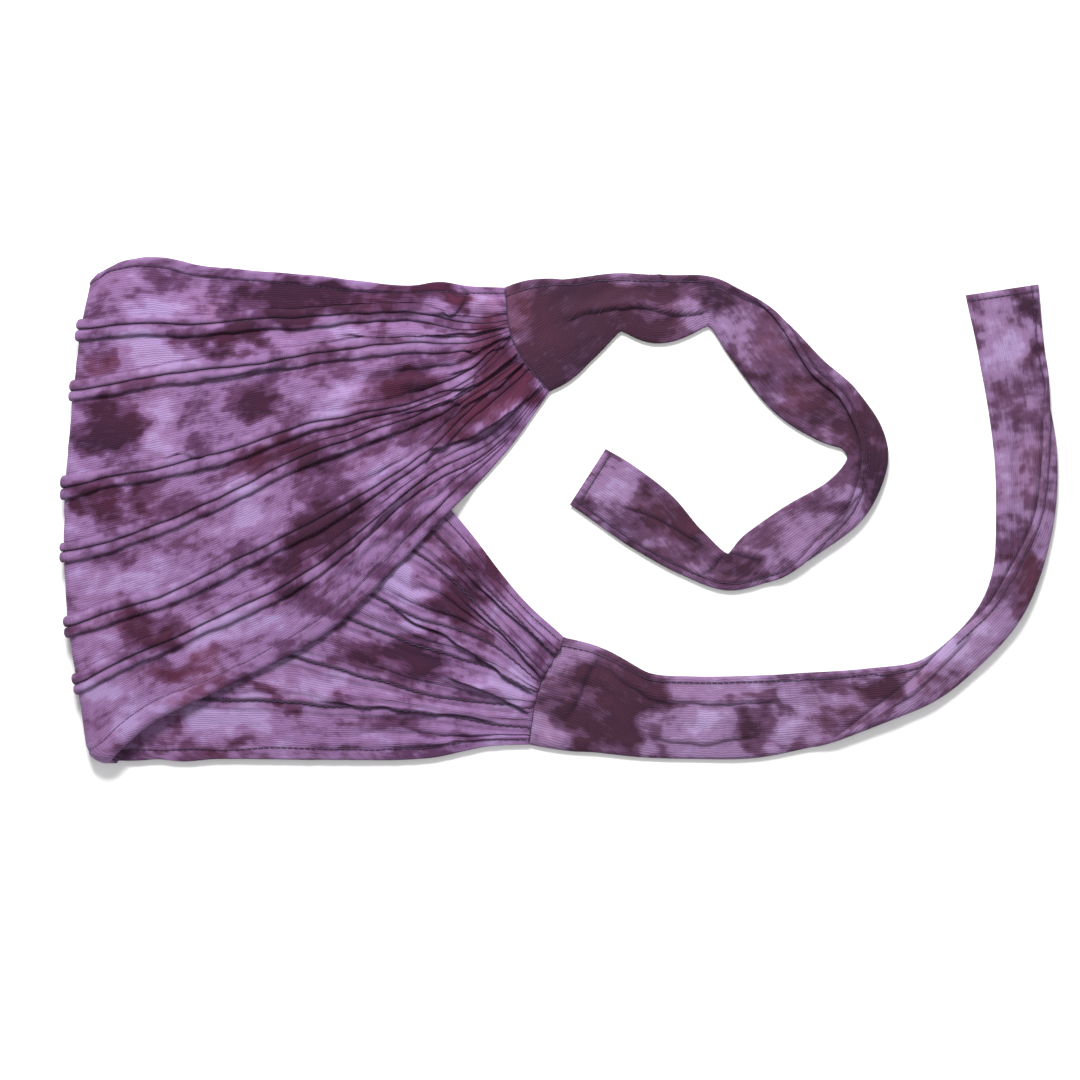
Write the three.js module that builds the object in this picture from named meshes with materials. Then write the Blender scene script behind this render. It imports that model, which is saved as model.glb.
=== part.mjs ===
// A tie headband of cotton jersey, lying as it was put down. Seven long strips are sewn side by side
// into a wide band, which is folded in half. The strips are gathered into pleats at both ends, and a
// long loose tie is sewn across each end. Millimetres, +Z up.
// The fold is on the left and the ties run to the right. The outer side of the band, with its raised
// seams, faces up on the front half and down on the back half, and everything rests on z = 0.
// The origin is under the middle of the box round the headband.

import * as THREE from "three";

// The band
const BAND_WIDTH = 230; // from edge to edge, measured across the fold
const FRONT_LENGTH = 230; // from the fold to the far end of the upper tie's seam
const BACK_LENGTH = 240; // from the fold to the far end of the lower tie's seam
const CLOTH = 1.2; // one layer of jersey
const RIDGE_WIDTH = 4.2; // one curled seam allowance
const RIDGE_HEIGHT = 2.1; // how far it stands off the cloth
const HEM_WIDTH = 5; // the narrow hem along the two outermost edges
const HEM_HEIGHT = 1.1; // its second layer
const PLEAT_HEIGHT = 1.5; // the pleats where a strip is gathered
const FULL_PLEAT_WIDTH = 14; // a narrower strip has lower pleats

// How the halves lie
const HOLLOW = 6.4; // the clear height inside the fold
const HOLLOW_REACH = 75; // how far from the fold the halves come to lie on each other
const HALVES_GAP = 1.2; // the clear height between them there
const DROP_REACH = 28; // how far past the edge of the back half the front half comes down to the floor

// The ties, each a flat tube of two layers
const TIE_LENGTH = 360; // the upper tie lies a little shorter than this, and the lower one longer
const TIE_WIDTH = 34;
const TIE_THICKNESS = 2;
const TIE_ROLL = 1.4; // the radius of the lengthwise fold where a tie rolls over itself
const TIE_SETTLE = 28; // how far from its seam a tie has its own straight section

const SEAM_GAP = 0.3; // left between two pieces that are sewn together

// How finely the cloth is divided
const FOLD_STEPS = 4; // from the crown of the fold to a half
const HALF_STEPS = 12; // from the fold to a tie
const TIE_STEPS = 40;
const TIE_STRANDS = { floor: 4, crease: 3, flap: 3 }; // below, round the lengthwise fold, and on top

// The two edges of the band and the six seams between them, from the top edge down.
// start: how far right of the fold's leftmost place it goes round the fold, as a share of BAND_WIDTH.
// end: how far from there it meets a tie, as a share of its own half's length.
// heights: how high it lies at the PLACES along its half, as shares of BAND_WIDTH from the middle.
const PLACES = [0, 0.1, 0.25, 0.5, 0.75, 0.9, 1];
const LINES = [
  {
    start: 0.068,
    front: { end: 0.894, heights: [0.46, 0.507, 0.492, 0.474, 0.453, 0.451, 0.449] },
    back: { end: 0.972, heights: [0.46, 0.42, 0.34, 0.211, 0.003, -0.167, -0.253] },
  },
  {
    start: 0.046,
    front: { end: 0.9, heights: [0.361, 0.372, 0.373, 0.387, 0.404, 0.381, 0.383] },
    back: { end: 0.955, heights: [0.361, 0.3, 0.231, 0.111, -0.053, -0.193, -0.287] },
  },
  {
    start: 0.032,
    front: { end: 0.903, heights: [0.239, 0.257, 0.278, 0.306, 0.338, 0.335, 0.363] },
    back: { end: 0.935, heights: [0.239, 0.185, 0.117, 0.025, -0.099, -0.229, -0.321] },
  },
  {
    start: 0.015,
    front: { end: 0.908, heights: [0.045, 0.069, 0.093, 0.161, 0.213, 0.267, 0.347] },
    back: { end: 0.926, heights: [0.045, 0.011, -0.031, -0.111, -0.209, -0.269, -0.343] },
  },
  {
    start: 0.013,
    front: { end: 0.926, heights: [-0.081, -0.061, -0.01, 0.101, 0.185, 0.249, 0.309] },
    back: { end: 0.92, heights: [-0.081, -0.103, -0.133, -0.187, -0.269, -0.313, -0.361] },
  },
  {
    start: 0.021,
    front: { end: 0.935, heights: [-0.231, -0.199, -0.15, -0.035, 0.099, 0.219, 0.297] },
    back: { end: 0.912, heights: [-0.231, -0.249, -0.269, -0.293, -0.363, -0.383, -0.391] },
  },
  {
    start: 0.04,
    front: { end: 0.974, heights: [-0.345, -0.295, -0.234, -0.113, 0.071, 0.149, 0.251] },
    back: { end: 0.907, heights: [-0.345, -0.359, -0.371, -0.385, -0.397, -0.423, -0.433] },
  },
  {
    start: 0.062,
    front: { end: 0.985, heights: [-0.486, -0.421, -0.357, -0.237, -0.02, 0.12, 0.241] },
    back: { end: 0.903, heights: [-0.486, -0.504, -0.497, -0.497, -0.495, -0.471, -0.467] },
  },
];
const LAST_LINE = LINES.length - 1;

// At the PLACES: how full the pleats are, and how much of their height the ridges keep.
const PLEATING = [0, 0, 0, 0.1, 0.55, 0.9, 1];
const RIDGING = [1, 1, 1, 1, 0.85, 0.65, 0.5];

// The ties' sections, from the seam to the free end. right and up: the section's middle, measured from
// the middle of the seam, as shares of TIE_LENGTH. width: the flat tube, as a share of TIE_WIDTH.
// rolled: the share of that width that is rolled over on top of the rest.
const UPPER_TIE = [
  { right: 0, up: 0, width: 1.5, rolled: 0 },
  { right: 0.057, up: 0.024, width: 1.2, rolled: 0 },
  { right: 0.114, up: 0.047, width: 0.8, rolled: 0 },
  { right: 0.169, up: 0.039, width: 0.94, rolled: 0 },
  { right: 0.224, up: 0.048, width: 0.72, rolled: 0.04 },
  { right: 0.252, up: 0.039, width: 0.66, rolled: 0.08 },
  { right: 0.29, up: 0.003, width: 0.96, rolled: 0.15 },
  { right: 0.343, up: -0.058, width: 1.2, rolled: 0.25 },
  { right: 0.39, up: -0.094, width: 1.14, rolled: 0.28 },
  { right: 0.425, up: -0.124, width: 0.96, rolled: 0.42 },
  { right: 0.433, up: -0.16, width: 0.9, rolled: 0.46 },
  { right: 0.404, up: -0.207, width: 0.96, rolled: 0.34 },
  { right: 0.351, up: -0.243, width: 0.92, rolled: 0.22 },
  { right: 0.303, up: -0.275, width: 0.78, rolled: 0.1 },
  { right: 0.256, up: -0.298, width: 0.5, rolled: 0 },
  { right: 0.204, up: -0.27, width: 0.68, rolled: 0 },
  { right: 0.157, up: -0.232, width: 0.9, rolled: 0 },
  { right: 0.111, up: -0.198, width: 0.93, rolled: 0 },
  { right: 0.077, up: -0.176, width: 0.9, rolled: 0 },
];
const LOWER_TIE = [
  { right: 0, up: 0, width: 1.5, rolled: 0 },
  { right: 0.057, up: -0.012, width: 1.42, rolled: 0 },
  { right: 0.12, up: -0.03, width: 1.16, rolled: 0 },
  { right: 0.185, up: -0.034, width: 1.12, rolled: 0 },
  { right: 0.262, up: -0.033, width: 1.12, rolled: 0 },
  { right: 0.337, up: -0.023, width: 1.02, rolled: 0.06 },
  { right: 0.416, up: -0.006, width: 1.02, rolled: 0.3 },
  { right: 0.485, up: 0.014, width: 1.04, rolled: 0.5 },
  { right: 0.536, up: 0.052, width: 1.06, rolled: 0.56 },
  { right: 0.577, up: 0.099, width: 1.04, rolled: 0.52 },
  { right: 0.6, up: 0.153, width: 1.06, rolled: 0.46 },
  { right: 0.611, up: 0.224, width: 1.06, rolled: 0.32 },
  { right: 0.612, up: 0.296, width: 1.05, rolled: 0.26 },
  { right: 0.604, up: 0.361, width: 0.93, rolled: 0.17 },
  { right: 0.595, up: 0.434, width: 0.9, rolled: 0.04 },
  { right: 0.583, up: 0.514, width: 1, rolled: 0 },
];

const lerp = THREE.MathUtils.lerp;
const smoothstep = THREE.MathUtils.smoothstep;

// Smoothly interpolates the values given at some places.
function smoothAt(places, values, at) {
  let i = 0;
  while (i < places.length - 2 && at > places[i + 1]) i++;
  const slope = (k) => {
    const before = Math.max(k - 1, 0);
    const after = Math.min(k + 1, places.length - 1);
    return (values[after] - values[before]) / (places[after] - places[before]);
  };
  const span = places[i + 1] - places[i];
  const t = (at - places[i]) / span;
  const rest = 1 - t;
  const from = rest * rest * ((1 + 2 * t) * values[i] + t * span * slope(i));
  const to = t * t * ((3 - 2 * t) * values[i + 1] - rest * span * slope(i + 1));
  return from + to;
}

// The value that a function of whole lines has at a place between two lines.
function betweenLines(line, value) {
  const above = Math.min(Math.floor(line), LAST_LINE - 1);
  return lerp(value(above), value(above + 1), line - above);
}

const isEdge = (line) => line === 0 || line === LAST_LINE;
const FRONT = { side: "front", up: 1, length: FRONT_LENGTH };
const BACK = { side: "back", up: -1, length: BACK_LENGTH };

// Where a line's inner face turns round the fold, and where the line meets its tie.
const foldX = (line) => LINES[line].start * BAND_WIDTH + CLOTH;
const endX = (half, line) => LINES[line][half.side].end * half.length;
const lineY = (half, line, run) =>
  smoothAt(PLACES, LINES[line][half.side].heights, run) * BAND_WIDTH;

// How high the inner face of the back half lies on its ridges and hems.
function restHeight(line, run) {
  const proud = (n) => (isEdge(n) ? HEM_HEIGHT : RIDGE_HEIGHT);
  return CLOTH + betweenLines(line, proud) * smoothAt(PLACES, RIDGING, run);
}

// How high the inner face of the front half lies. reach is the distance from the fold.
function coverHeight(line, reach, x, y) {
  const flat = smoothstep(reach, 0, HOLLOW_REACH);
  const loose = restHeight(line, 0) + HOLLOW;
  const lying = CLOTH + RIDGE_HEIGHT + HALVES_GAP;
  const topRun = (x - foldX(0)) / (endX(BACK, 0) - foldX(0));
  const past = y - lineY(BACK, 0, THREE.MathUtils.clamp(topRun, 0, 1));
  const fallen = smoothstep(past, 0, DROP_REACH) * flat;
  return lerp(loose, lying, flat) * (1 - fallen);
}

// A point of the band's inner face, without pleats. line may lie between two lines. A row has its half,
// its turn from the crown of the fold, up to a right angle, and from there its share of the half.
function innerPoint(row, line) {
  const radius = HOLLOW / 2;
  const crown = betweenLines(line, foldX);
  const end = betweenLines(line, (n) => endX(row.half, n));
  const x = lerp(crown + radius * (1 - Math.cos(row.turn)), end, row.share);
  const run = (x - crown) / (end - crown);
  const y = betweenLines(line, (n) => lineY(row.half, n, run));
  const onHalf = row.turn === Math.PI / 2;
  if (!onHalf) {
    const z = restHeight(line, 0) + radius * (1 + row.half.up * Math.sin(row.turn));
    return new THREE.Vector3(x, y, z);
  }
  const reach = x - crown - radius;
  const z = row.half === FRONT ? coverHeight(line, reach, x, y) : restHeight(line, run);
  return new THREE.Vector3(x, y, z);
}

// The rows along the band: from the upper tie to the fold, round it, and on to the lower tie.
function bandRows() {
  const halfRows = (half) => {
    const rows = [];
    for (let i = 0; i < FOLD_STEPS; i++)
      rows.push({ half, turn: ((i / FOLD_STEPS) * Math.PI) / 2, share: 0 });
    for (let i = 0; i <= HALF_STEPS; i++)
      rows.push({ half, turn: Math.PI / 2, share: i / HALF_STEPS });
    return rows;
  };
  return [...halfRows(FRONT).reverse(), ...halfRows(BACK).slice(1)];
}
const ROWS = bandRows();

// The direction that the band's outer side faces at a row.
const SIDESTEP = 0.2; // in lines
function outward(i, line) {
  const before = innerPoint(ROWS[Math.max(i - 1, 0)], line);
  const after = innerPoint(ROWS[Math.min(i + 1, ROWS.length - 1)], line);
  const above = innerPoint(ROWS[i], Math.max(line - SIDESTEP, 0));
  const below = innerPoint(ROWS[i], Math.min(line + SIDESTEP, LAST_LINE));
  return after.sub(before).cross(below.sub(above)).normalize();
}

// The border of a strip along one of its lines: how wide it is, how high, and what the line leaves free.
function borderOf(line) {
  if (isEdge(line)) return { width: HEM_WIDTH, height: HEM_HEIGHT, free: 0, edge: 1 };
  return { width: RIDGE_WIDTH, height: RIDGE_HEIGHT, free: SEAM_GAP / 2, edge: 0.35 };
}

// The strands across a strip, from its upper line to its lower one. at: the share of the strip's width.
// proud: how high the outer side stands off the cloth. pleat: the share of a full pleat.
const MOST_BORDER = 0.3; // the most of a narrow strip that one border takes
const CREST = 0.45; // where a ridge is highest, as a share of its width
function stripStrands(strip, width, ridging) {
  const half = (line) => {
    const { width: wide, height, free, edge } = borderOf(line);
    const share = Math.min(wide / width, MOST_BORDER);
    const fall = isEdge(line) ? ridging : ridging * Math.min(1, (share * width) / wide + 0.4);
    return [
      { at: free / width, proud: height * edge * fall, pleat: 0 },
      { at: share * CREST, proud: height * fall, pleat: 0 },
      { at: share, proud: 0, pleat: 0 },
    ];
  };
  const upper = half(strip);
  const lower = half(strip + 1).map((strand) => ({ ...strand, at: 1 - strand.at }));
  const from = upper[2].at;
  const to = lower[2].at;
  const pleats = [
    { at: lerp(from, to, 0.25), proud: 0, pleat: 1 },
    { at: lerp(from, to, 0.5), proud: 0, pleat: 0.1 },
    { at: lerp(from, to, 0.75), proud: 0, pleat: 1 },
  ];
  return [...upper, ...pleats, ...lower.reverse()];
}

// One strip of the band, as a closed solid between its inner and its outer face.
function stripCloth(strip) {
  const inner = [];
  const outer = [];
  ROWS.forEach((row, i) => {
    const width = innerPoint(row, strip).distanceTo(innerPoint(row, strip + 1));
    const pleated = row.share === 0 ? 0 : smoothAt(PLACES, PLEATING, row.share);
    const ridging = row.share === 0 ? 1 : smoothAt(PLACES, RIDGING, row.share);
    const pleatHeight = PLEAT_HEIGHT * pleated * Math.min(1, width / FULL_PLEAT_WIDTH);
    const strands = stripStrands(strip, width, ridging);
    const lifted = strands.map(({ at, pleat }) => {
      const point = innerPoint(row, strip + at);
      point.z += pleat * pleatHeight;
      return point;
    });
    inner.push(lifted);
    outer.push(
      lifted.map((point, j) => {
        const facing = outward(i, strip + strands[j].at);
        return point.clone().addScaledVector(facing, CLOTH + strands[j].proud);
      }),
    );
  });
  return solidBetween(outer, inner);
}

// A closed solid between two grids of points. The rows run ahead and the strands run aside, so that
// ahead crossed with aside points from the second grid towards the first.
function solidBetween(near, far) {
  const lastRow = near.length - 1;
  const lastStrand = near[0].length - 1;
  const across = lastStrand + 1;
  const positions = [];
  for (const grid of [near, far])
    for (const row of grid) for (const point of row) positions.push(...point);
  const faces = [];
  const quad = (a, b, c, d) => faces.push(a, b, c, a, c, d);
  const a = (i, j) => i * across + j;
  const b = (i, j) => near.length * across + a(i, j);
  for (let i = 0; i < lastRow; i++) {
    for (let j = 0; j < lastStrand; j++) {
      quad(a(i, j), a(i + 1, j), a(i + 1, j + 1), a(i, j + 1));
      quad(b(i, j), b(i, j + 1), b(i + 1, j + 1), b(i + 1, j));
    }
    quad(a(i, 0), b(i, 0), b(i + 1, 0), a(i + 1, 0));
    quad(a(i, lastStrand), a(i + 1, lastStrand), b(i + 1, lastStrand), b(i, lastStrand));
  }
  for (let j = 0; j < lastStrand; j++) {
    quad(a(0, j), a(0, j + 1), b(0, j + 1), b(0, j));
    quad(a(lastRow, j), b(lastRow, j), b(lastRow, j + 1), a(lastRow, j + 1));
  }
  const geometry = new THREE.BufferGeometry();
  geometry.setAttribute("position", new THREE.Float32BufferAttribute(positions, 3));
  geometry.setIndex(faces);
  geometry.computeVertexNormals();
  return geometry;
}

// A closed solid of even cloth round a grid of points on its middle surface.
function evenCloth(grid, thickness) {
  const lastRow = grid.length - 1;
  const lastStrand = grid[0].length - 1;
  const face = (side) =>
    grid.map((row, i) =>
      row.map((point, j) => {
        const ahead = grid[Math.min(i + 1, lastRow)][j].clone().sub(grid[Math.max(i - 1, 0)][j]);
        const aside = row[Math.min(j + 1, lastStrand)].clone().sub(row[Math.max(j - 1, 0)]);
        const normal = ahead.cross(aside).normalize();
        return point.clone().addScaledVector(normal, (side * thickness) / 2);
      }),
    );
  return solidBetween(face(1), face(-1));
}

// The seam at the end of a half, on the floor. at is the share of the way from its top to its bottom.
function tieSeam(half, at) {
  const line = at * LAST_LINE;
  const x = betweenLines(line, (n) => endX(half, n));
  const y = betweenLines(line, (n) => lineY(half, n, 1));
  return new THREE.Vector3(x, y, 0);
}

// How far along a tie's flat cloth its strands lie, from the edge that stays on the floor.
const ROLLING = 0.12; // from this share on, the strands are set by the lengthwise fold
function tieStrands(width, rolled) {
  const { floor, crease, flap } = TIE_STRANDS;
  const all = floor + crease + flap;
  const foldAt = width * (1 - rolled);
  const round = Math.min(Math.PI * TIE_ROLL, width * rolled * 0.6);
  const strands = [];
  for (let j = 0; j <= all; j++) {
    let set = lerp(0, foldAt, j / floor);
    if (j > floor) set = foldAt + (round * (j - floor)) / crease;
    if (j > floor + crease) set = lerp(foldAt + round, width, (j - floor - crease) / flap);
    strands.push(lerp((j / all) * width, set, smoothstep(rolled, 0, ROLLING)));
  }
  return strands;
}

// Where a strand of a rolled tie lies: how far across, and how far above the cloth on the floor.
function rolledPlace(from, width, rolled) {
  const crease = width * (1 - rolled);
  const past = from - crease;
  const round = Math.PI * TIE_ROLL;
  if (past <= 0) return { across: from, above: 0 };
  if (past >= round) return { across: crease - (past - round), above: 2 * TIE_ROLL };
  const turn = past / TIE_ROLL;
  return { across: crease + TIE_ROLL * Math.sin(turn), above: TIE_ROLL * (1 - Math.cos(turn)) };
}

// A tie. rollSide is 1 where its left edge, seen from the seam, rolls over the rest, and -1 for the right.
function tieCloth(half, sections, rollSide) {
  const place = ({ right, up }) => new THREE.Vector3(right, up, 0).multiplyScalar(TIE_LENGTH);
  const route = new THREE.CatmullRomCurve3(sections.map(place));
  const leaves = route.getTangent(0);
  const top = tieSeam(half, 0);
  const bottom = tieSeam(half, 1);
  const middle = top.clone().lerp(bottom, 0.5);
  const stations = sections.map((_, i) => i);
  const valueAt = (name, u) =>
    smoothAt(stations, sections.map((section) => section[name]), u * (sections.length - 1));
  const grid = [];
  for (let i = 0; i <= TIE_STEPS; i++) {
    const u = i / TIE_STEPS;
    const centre = route.getPoint(u);
    const ahead = route.getTangent(u);
    const left = new THREE.Vector3(-ahead.y, ahead.x, 0);
    const width = TIE_WIDTH * valueAt("width", u);
    const rolled = Math.max(0, valueAt("rolled", u));
    const places = tieStrands(width, rolled).map((from) => rolledPlace(from, width, rolled));
    const reach = places.map(({ across }) => across);
    const centring = (Math.min(...reach) + Math.max(...reach)) / 2;
    const settled = smoothstep(centre.length(), 0, TIE_SETTLE);
    grid.push(
      places.map(({ across, above }, j) => {
        const straight = left.clone().multiplyScalar(rollSide * (across - centring));
        const share = j / (places.length - 1);
        const sewn = tieSeam(half, rollSide > 0 ? 1 - share : share).sub(middle);
        const point = sewn.lerp(straight, settled).add(middle).add(centre);
        return point.addScaledVector(leaves, SEAM_GAP).setZ(TIE_THICKNESS / 2 + above);
      }),
    );
  }
  return evenCloth(grid, TIE_THICKNESS);
}

const stripJersey = new THREE.MeshStandardMaterial({ color: 0x8d6a9e, roughness: 0.95, metalness: 0 });
const tieJersey = new THREE.MeshStandardMaterial({ color: 0x7f5a90, roughness: 0.9, metalness: 0 });

const headband = new THREE.Group();

function add(name, geometry, material) {
  const mesh = new THREE.Mesh(geometry, material.clone());
  mesh.name = name;
  headband.add(mesh);
}

for (let strip = 0; strip < LAST_LINE; strip++)
  add(`strip_${strip + 1}`, stripCloth(strip), stripJersey);
add("tie_upper", tieCloth(FRONT, UPPER_TIE, 1), tieJersey);
add("tie_lower", tieCloth(BACK, LOWER_TIE, -1), tieJersey);

// The origin goes under the middle of the box.
const box = new THREE.Box3().setFromObject(headband);
const centre = box.getCenter(new THREE.Vector3());
headband.position.set(-centre.x, -centre.y, -box.min.z);

export default headband;
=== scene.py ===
# %% [markdown]
# A tie headband of cotton jersey, lying flat on a pale floor.
# The frame is the solid model of the headband, already at its real size. Every cloth piece below is
# made finely in the place of one of its solids, so the first step loads the frame.

# %% Load the frame
import math
from types import SimpleNamespace

import bmesh
import bpy
import numpy as np
from mathutils import Matrix, Vector, noise


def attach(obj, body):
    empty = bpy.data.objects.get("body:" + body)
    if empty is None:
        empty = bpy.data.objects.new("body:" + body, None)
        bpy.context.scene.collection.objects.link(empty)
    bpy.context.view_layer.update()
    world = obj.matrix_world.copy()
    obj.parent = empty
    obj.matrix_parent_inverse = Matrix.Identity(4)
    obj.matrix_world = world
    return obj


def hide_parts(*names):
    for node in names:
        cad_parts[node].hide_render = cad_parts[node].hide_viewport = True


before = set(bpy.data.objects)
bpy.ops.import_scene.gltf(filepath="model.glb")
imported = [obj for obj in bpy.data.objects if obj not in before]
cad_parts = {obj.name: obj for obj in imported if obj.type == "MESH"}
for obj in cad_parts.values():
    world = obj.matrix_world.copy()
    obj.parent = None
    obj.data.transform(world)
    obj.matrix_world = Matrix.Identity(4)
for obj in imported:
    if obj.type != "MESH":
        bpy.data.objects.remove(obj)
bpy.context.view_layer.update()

# %% [markdown]
# The sizes are the real headband's, in millimetres, and the shapes are worked out in the same way as
# the solids: a band of seven strips between eight lines, folded at its middle. Working in the sewing
# sizes, and turning them into metres once at the end, keeps the numbers as a maker would say them.

# %% Sizes of the headband
MM = 0.001
BAND_WIDTH = 230
FRONT_LENGTH = 230
BACK_LENGTH = 240
CLOTH = 1.2
RIDGE_HEIGHT = 2.1
ROLL_WIDTH = 4.9
ROLL_HEIGHT = 2.2
HEM_WIDTH = 5
HEM_HEIGHT = 1.1
PLEAT_HEIGHT = 3.8
FULL_PLEAT_WIDTH = 14
HOLLOW = 6.4
HOLLOW_REACH = 75
HALVES_GAP = 1.2
DROP_REACH = 28
TIE_LENGTH = 360
TIE_WIDTH = 34
TIE_THICKNESS = 2
TIE_ROLL = 1.4
TIE_SETTLE = 28
SEAM_GAP = 0.06
# From the fold's leftmost place, at the middle of the band, to the frame's origin
FRAME_SHIFT = np.array([-230.632, -0.406, 0.116])
print("band in mm:", BAND_WIDTH, "wide, halves", FRONT_LENGTH, "and", BACK_LENGTH, "long")

# %% [markdown]
# The band lies folded in half, so it has a front half and a back half, and eight lines run along both:
# two hemmed edges and six seams. They spread at the fold and are drawn together at the ties. A maker
# would mark each line at a few places and join the marks, and so does this table.

# %% Lines of the band
# The two edges and six seams, from the top edge down. start is a share of BAND_WIDTH, end a share of
# the half's own length, and heights are shares of BAND_WIDTH at the PLACES along the half.
PLACES = [0, 0.1, 0.25, 0.5, 0.75, 0.9, 1]
STARTS = [0.068, 0.046, 0.032, 0.015, 0.013, 0.021, 0.04, 0.062]
FRONT = SimpleNamespace(
    length=FRONT_LENGTH,
    ends=[0.894, 0.9, 0.903, 0.908, 0.926, 0.935, 0.974, 0.985],
    heights=[
        [0.46, 0.507, 0.492, 0.474, 0.453, 0.451, 0.449],
        [0.361, 0.372, 0.373, 0.387, 0.404, 0.381, 0.383],
        [0.239, 0.257, 0.278, 0.306, 0.338, 0.335, 0.363],
        [0.045, 0.069, 0.093, 0.161, 0.213, 0.267, 0.347],
        [-0.081, -0.061, -0.01, 0.101, 0.185, 0.249, 0.309],
        [-0.231, -0.199, -0.15, -0.035, 0.099, 0.219, 0.297],
        [-0.345, -0.295, -0.234, -0.113, 0.071, 0.149, 0.251],
        [-0.486, -0.421, -0.357, -0.237, -0.02, 0.12, 0.241],
    ],
)
BACK = SimpleNamespace(
    length=BACK_LENGTH,
    ends=[0.972, 0.955, 0.935, 0.926, 0.92, 0.912, 0.907, 0.903],
    heights=[
        [0.46, 0.42, 0.34, 0.211, 0.003, -0.167, -0.253],
        [0.361, 0.3, 0.231, 0.111, -0.053, -0.193, -0.287],
        [0.239, 0.185, 0.117, 0.025, -0.099, -0.229, -0.321],
        [0.045, 0.011, -0.031, -0.111, -0.209, -0.269, -0.343],
        [-0.081, -0.103, -0.133, -0.187, -0.269, -0.313, -0.361],
        [-0.231, -0.249, -0.269, -0.293, -0.363, -0.383, -0.391],
        [-0.345, -0.359, -0.371, -0.385, -0.397, -0.423, -0.433],
        [-0.486, -0.504, -0.497, -0.497, -0.495, -0.471, -0.467],
    ],
)
# At the same PLACES: how strong the pleats are, how thick the ridges under the cloth are, and how far
# the curled rolls stand out
PLEATING = [0, 0, 0, 0.1, 0.55, 0.9, 1]
RIDGING = [1, 1, 1, 1, 0.85, 0.65, 0.5]
ROLLING_OUT = [1, 1, 1, 1, 0.85, 0.5, 0.25]
LAST_LINE = len(STARTS) - 1
STRIPS = LAST_LINE
print("strips:", STRIPS, "seams:", LAST_LINE - 1)

# %% [markdown]
# Between the marks a line runs as a smooth curve. Blender's own curves could carry it, but the same
# few functions also have to blend widths, heights and gathers over whole grids of points, so they are
# written once here for numbers of any kind.

# %% Smooth curves through a few places
def smooth_at(places, values, at):
    """Smoothly interpolates the values given at some places."""
    places, values, at = np.asarray(places, float), np.asarray(values, float), np.asarray(at, float)
    last = len(places) - 1
    i = np.clip(np.searchsorted(places, at, side="right") - 1, 0, last - 1)

    def slope(k):
        before, after = np.maximum(k - 1, 0), np.minimum(k + 1, last)
        return (values[after] - values[before]) / (places[after] - places[before])

    span = places[i + 1] - places[i]
    t = (at - places[i]) / span
    rest = 1 - t
    start = rest * rest * ((1 + 2 * t) * values[i] + t * span * slope(i))
    return start + t * t * ((3 - 2 * t) * values[i + 1] - rest * span * slope(i + 1))


def smoothstep(value, low, high):
    t = np.clip((np.asarray(value, float) - low) / (high - low), 0, 1)
    return t * t * (3 - 2 * t)


def lerp(a, b, t):
    return a + (b - a) * t


def between_lines(table, line):
    """The value between two lines. table holds a value of each line, for each row or for all."""
    table = np.asarray(table, float)
    k = np.clip(np.floor(line).astype(int), 0, LAST_LINE - 1)
    part = line - k
    if table.ndim == 1:
        return lerp(table[k], table[k + 1], part)
    i = np.arange(line.shape[0])[:, None] + 0 * k
    j = np.arange(line.shape[1])[None, :] + 0 * k
    if table.ndim == 2:
        return lerp(table[i, k], table[i, k + 1], part)
    return lerp(table[k, i, j], table[k + 1, i, j], part)


TOP_MIDDLE = float(smooth_at(PLACES, FRONT.heights[0], 0.5))
print("top edge half way along:", round(BAND_WIDTH * TOP_MIDDLE), "mm up")

# %% [markdown]
# Cloth is never quite even. A maker's hand and the wash leave soft ripples, so a few noise fields are
# used for the ripples, the width of the curled seams and the wander of the pleats. Noise at a place is
# the same every run. A seed only picks a fresh layer of it, so that no two lines ripple alike.

# %% Noise over a grid
def noise_grid(a, b, a_size, b_size, seed):
    """Soft noise from -1 to 1 over two grids of lengths in mm, with ripples of the two sizes."""
    a, b = np.broadcast_arrays(a, b)
    flat = [
        noise.noise(Vector((x / a_size, y / b_size, seed * 7.31)))
        for x, y in zip(a.ravel(), b.ravel())
    ]
    return np.array(flat).reshape(a.shape)


print("ripples at three places:", noise_grid(np.array([3.0, 9.0, 20.0]), 0.0, 34, 9, 1).round(2))

# %% [markdown]
# The band's inner face is one smooth surface: the back half lies on its own seam ridges, a soft roll
# goes round the fold, and the front half settles on the back half and comes down to the floor past
# its edge. A row across the band is given by its half, its turn round the fold and its share of the
# half. Working out this surface once keeps all seven strips in line with each other.

# %% The band's inner face
FOLD_ROWS = 12
HALF_ROWS = 150


def band_rows():
    """The rows from the upper tie, round the fold, to the lower tie, as columns of values."""
    turn = np.concatenate([np.arange(FOLD_ROWS) / FOLD_ROWS, np.ones(HALF_ROWS + 1)]) * math.pi / 2
    share = np.concatenate([np.zeros(FOLD_ROWS), np.linspace(0, 1, HALF_ROWS + 1)])
    up = np.ones_like(share)
    return SimpleNamespace(
        up=np.concatenate([up, -up[1:]])[:, None],
        turn=np.concatenate([turn[::-1], turn[1:]])[:, None],
        share=np.concatenate([share[::-1], share[1:]])[:, None],
    )


ROWS = band_rows()
CROWNS = np.array(STARTS) * BAND_WIDTH + CLOTH
PROUD = np.array([HEM_HEIGHT] + [RIDGE_HEIGHT] * (LAST_LINE - 1) + [HEM_HEIGHT])
for half in (FRONT, BACK):
    half.seam = np.array(half.ends) * half.length
print("rows along the band:", ROWS.share.shape[0])

# %% [markdown]
# A sewn line is never quite straight. Each one wanders a millimetre or so, slowly and with quicker
# wobbles, and a hem bulges where it goes round the fold or is tucked beside a tie. The wander is worked
# out once for each line, so that the two strips that share a line agree on it.

# %% Wander of the seams
SEAM_WANDER = 1.5
HEM_WANDER = 0.5
SLOW_WANDER = 0.16
QUICK_WANDER = 0.055
WANDER_STEPS = 120
STEPS_ALONG = np.linspace(0, 1, WANDER_STEPS)
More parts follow.
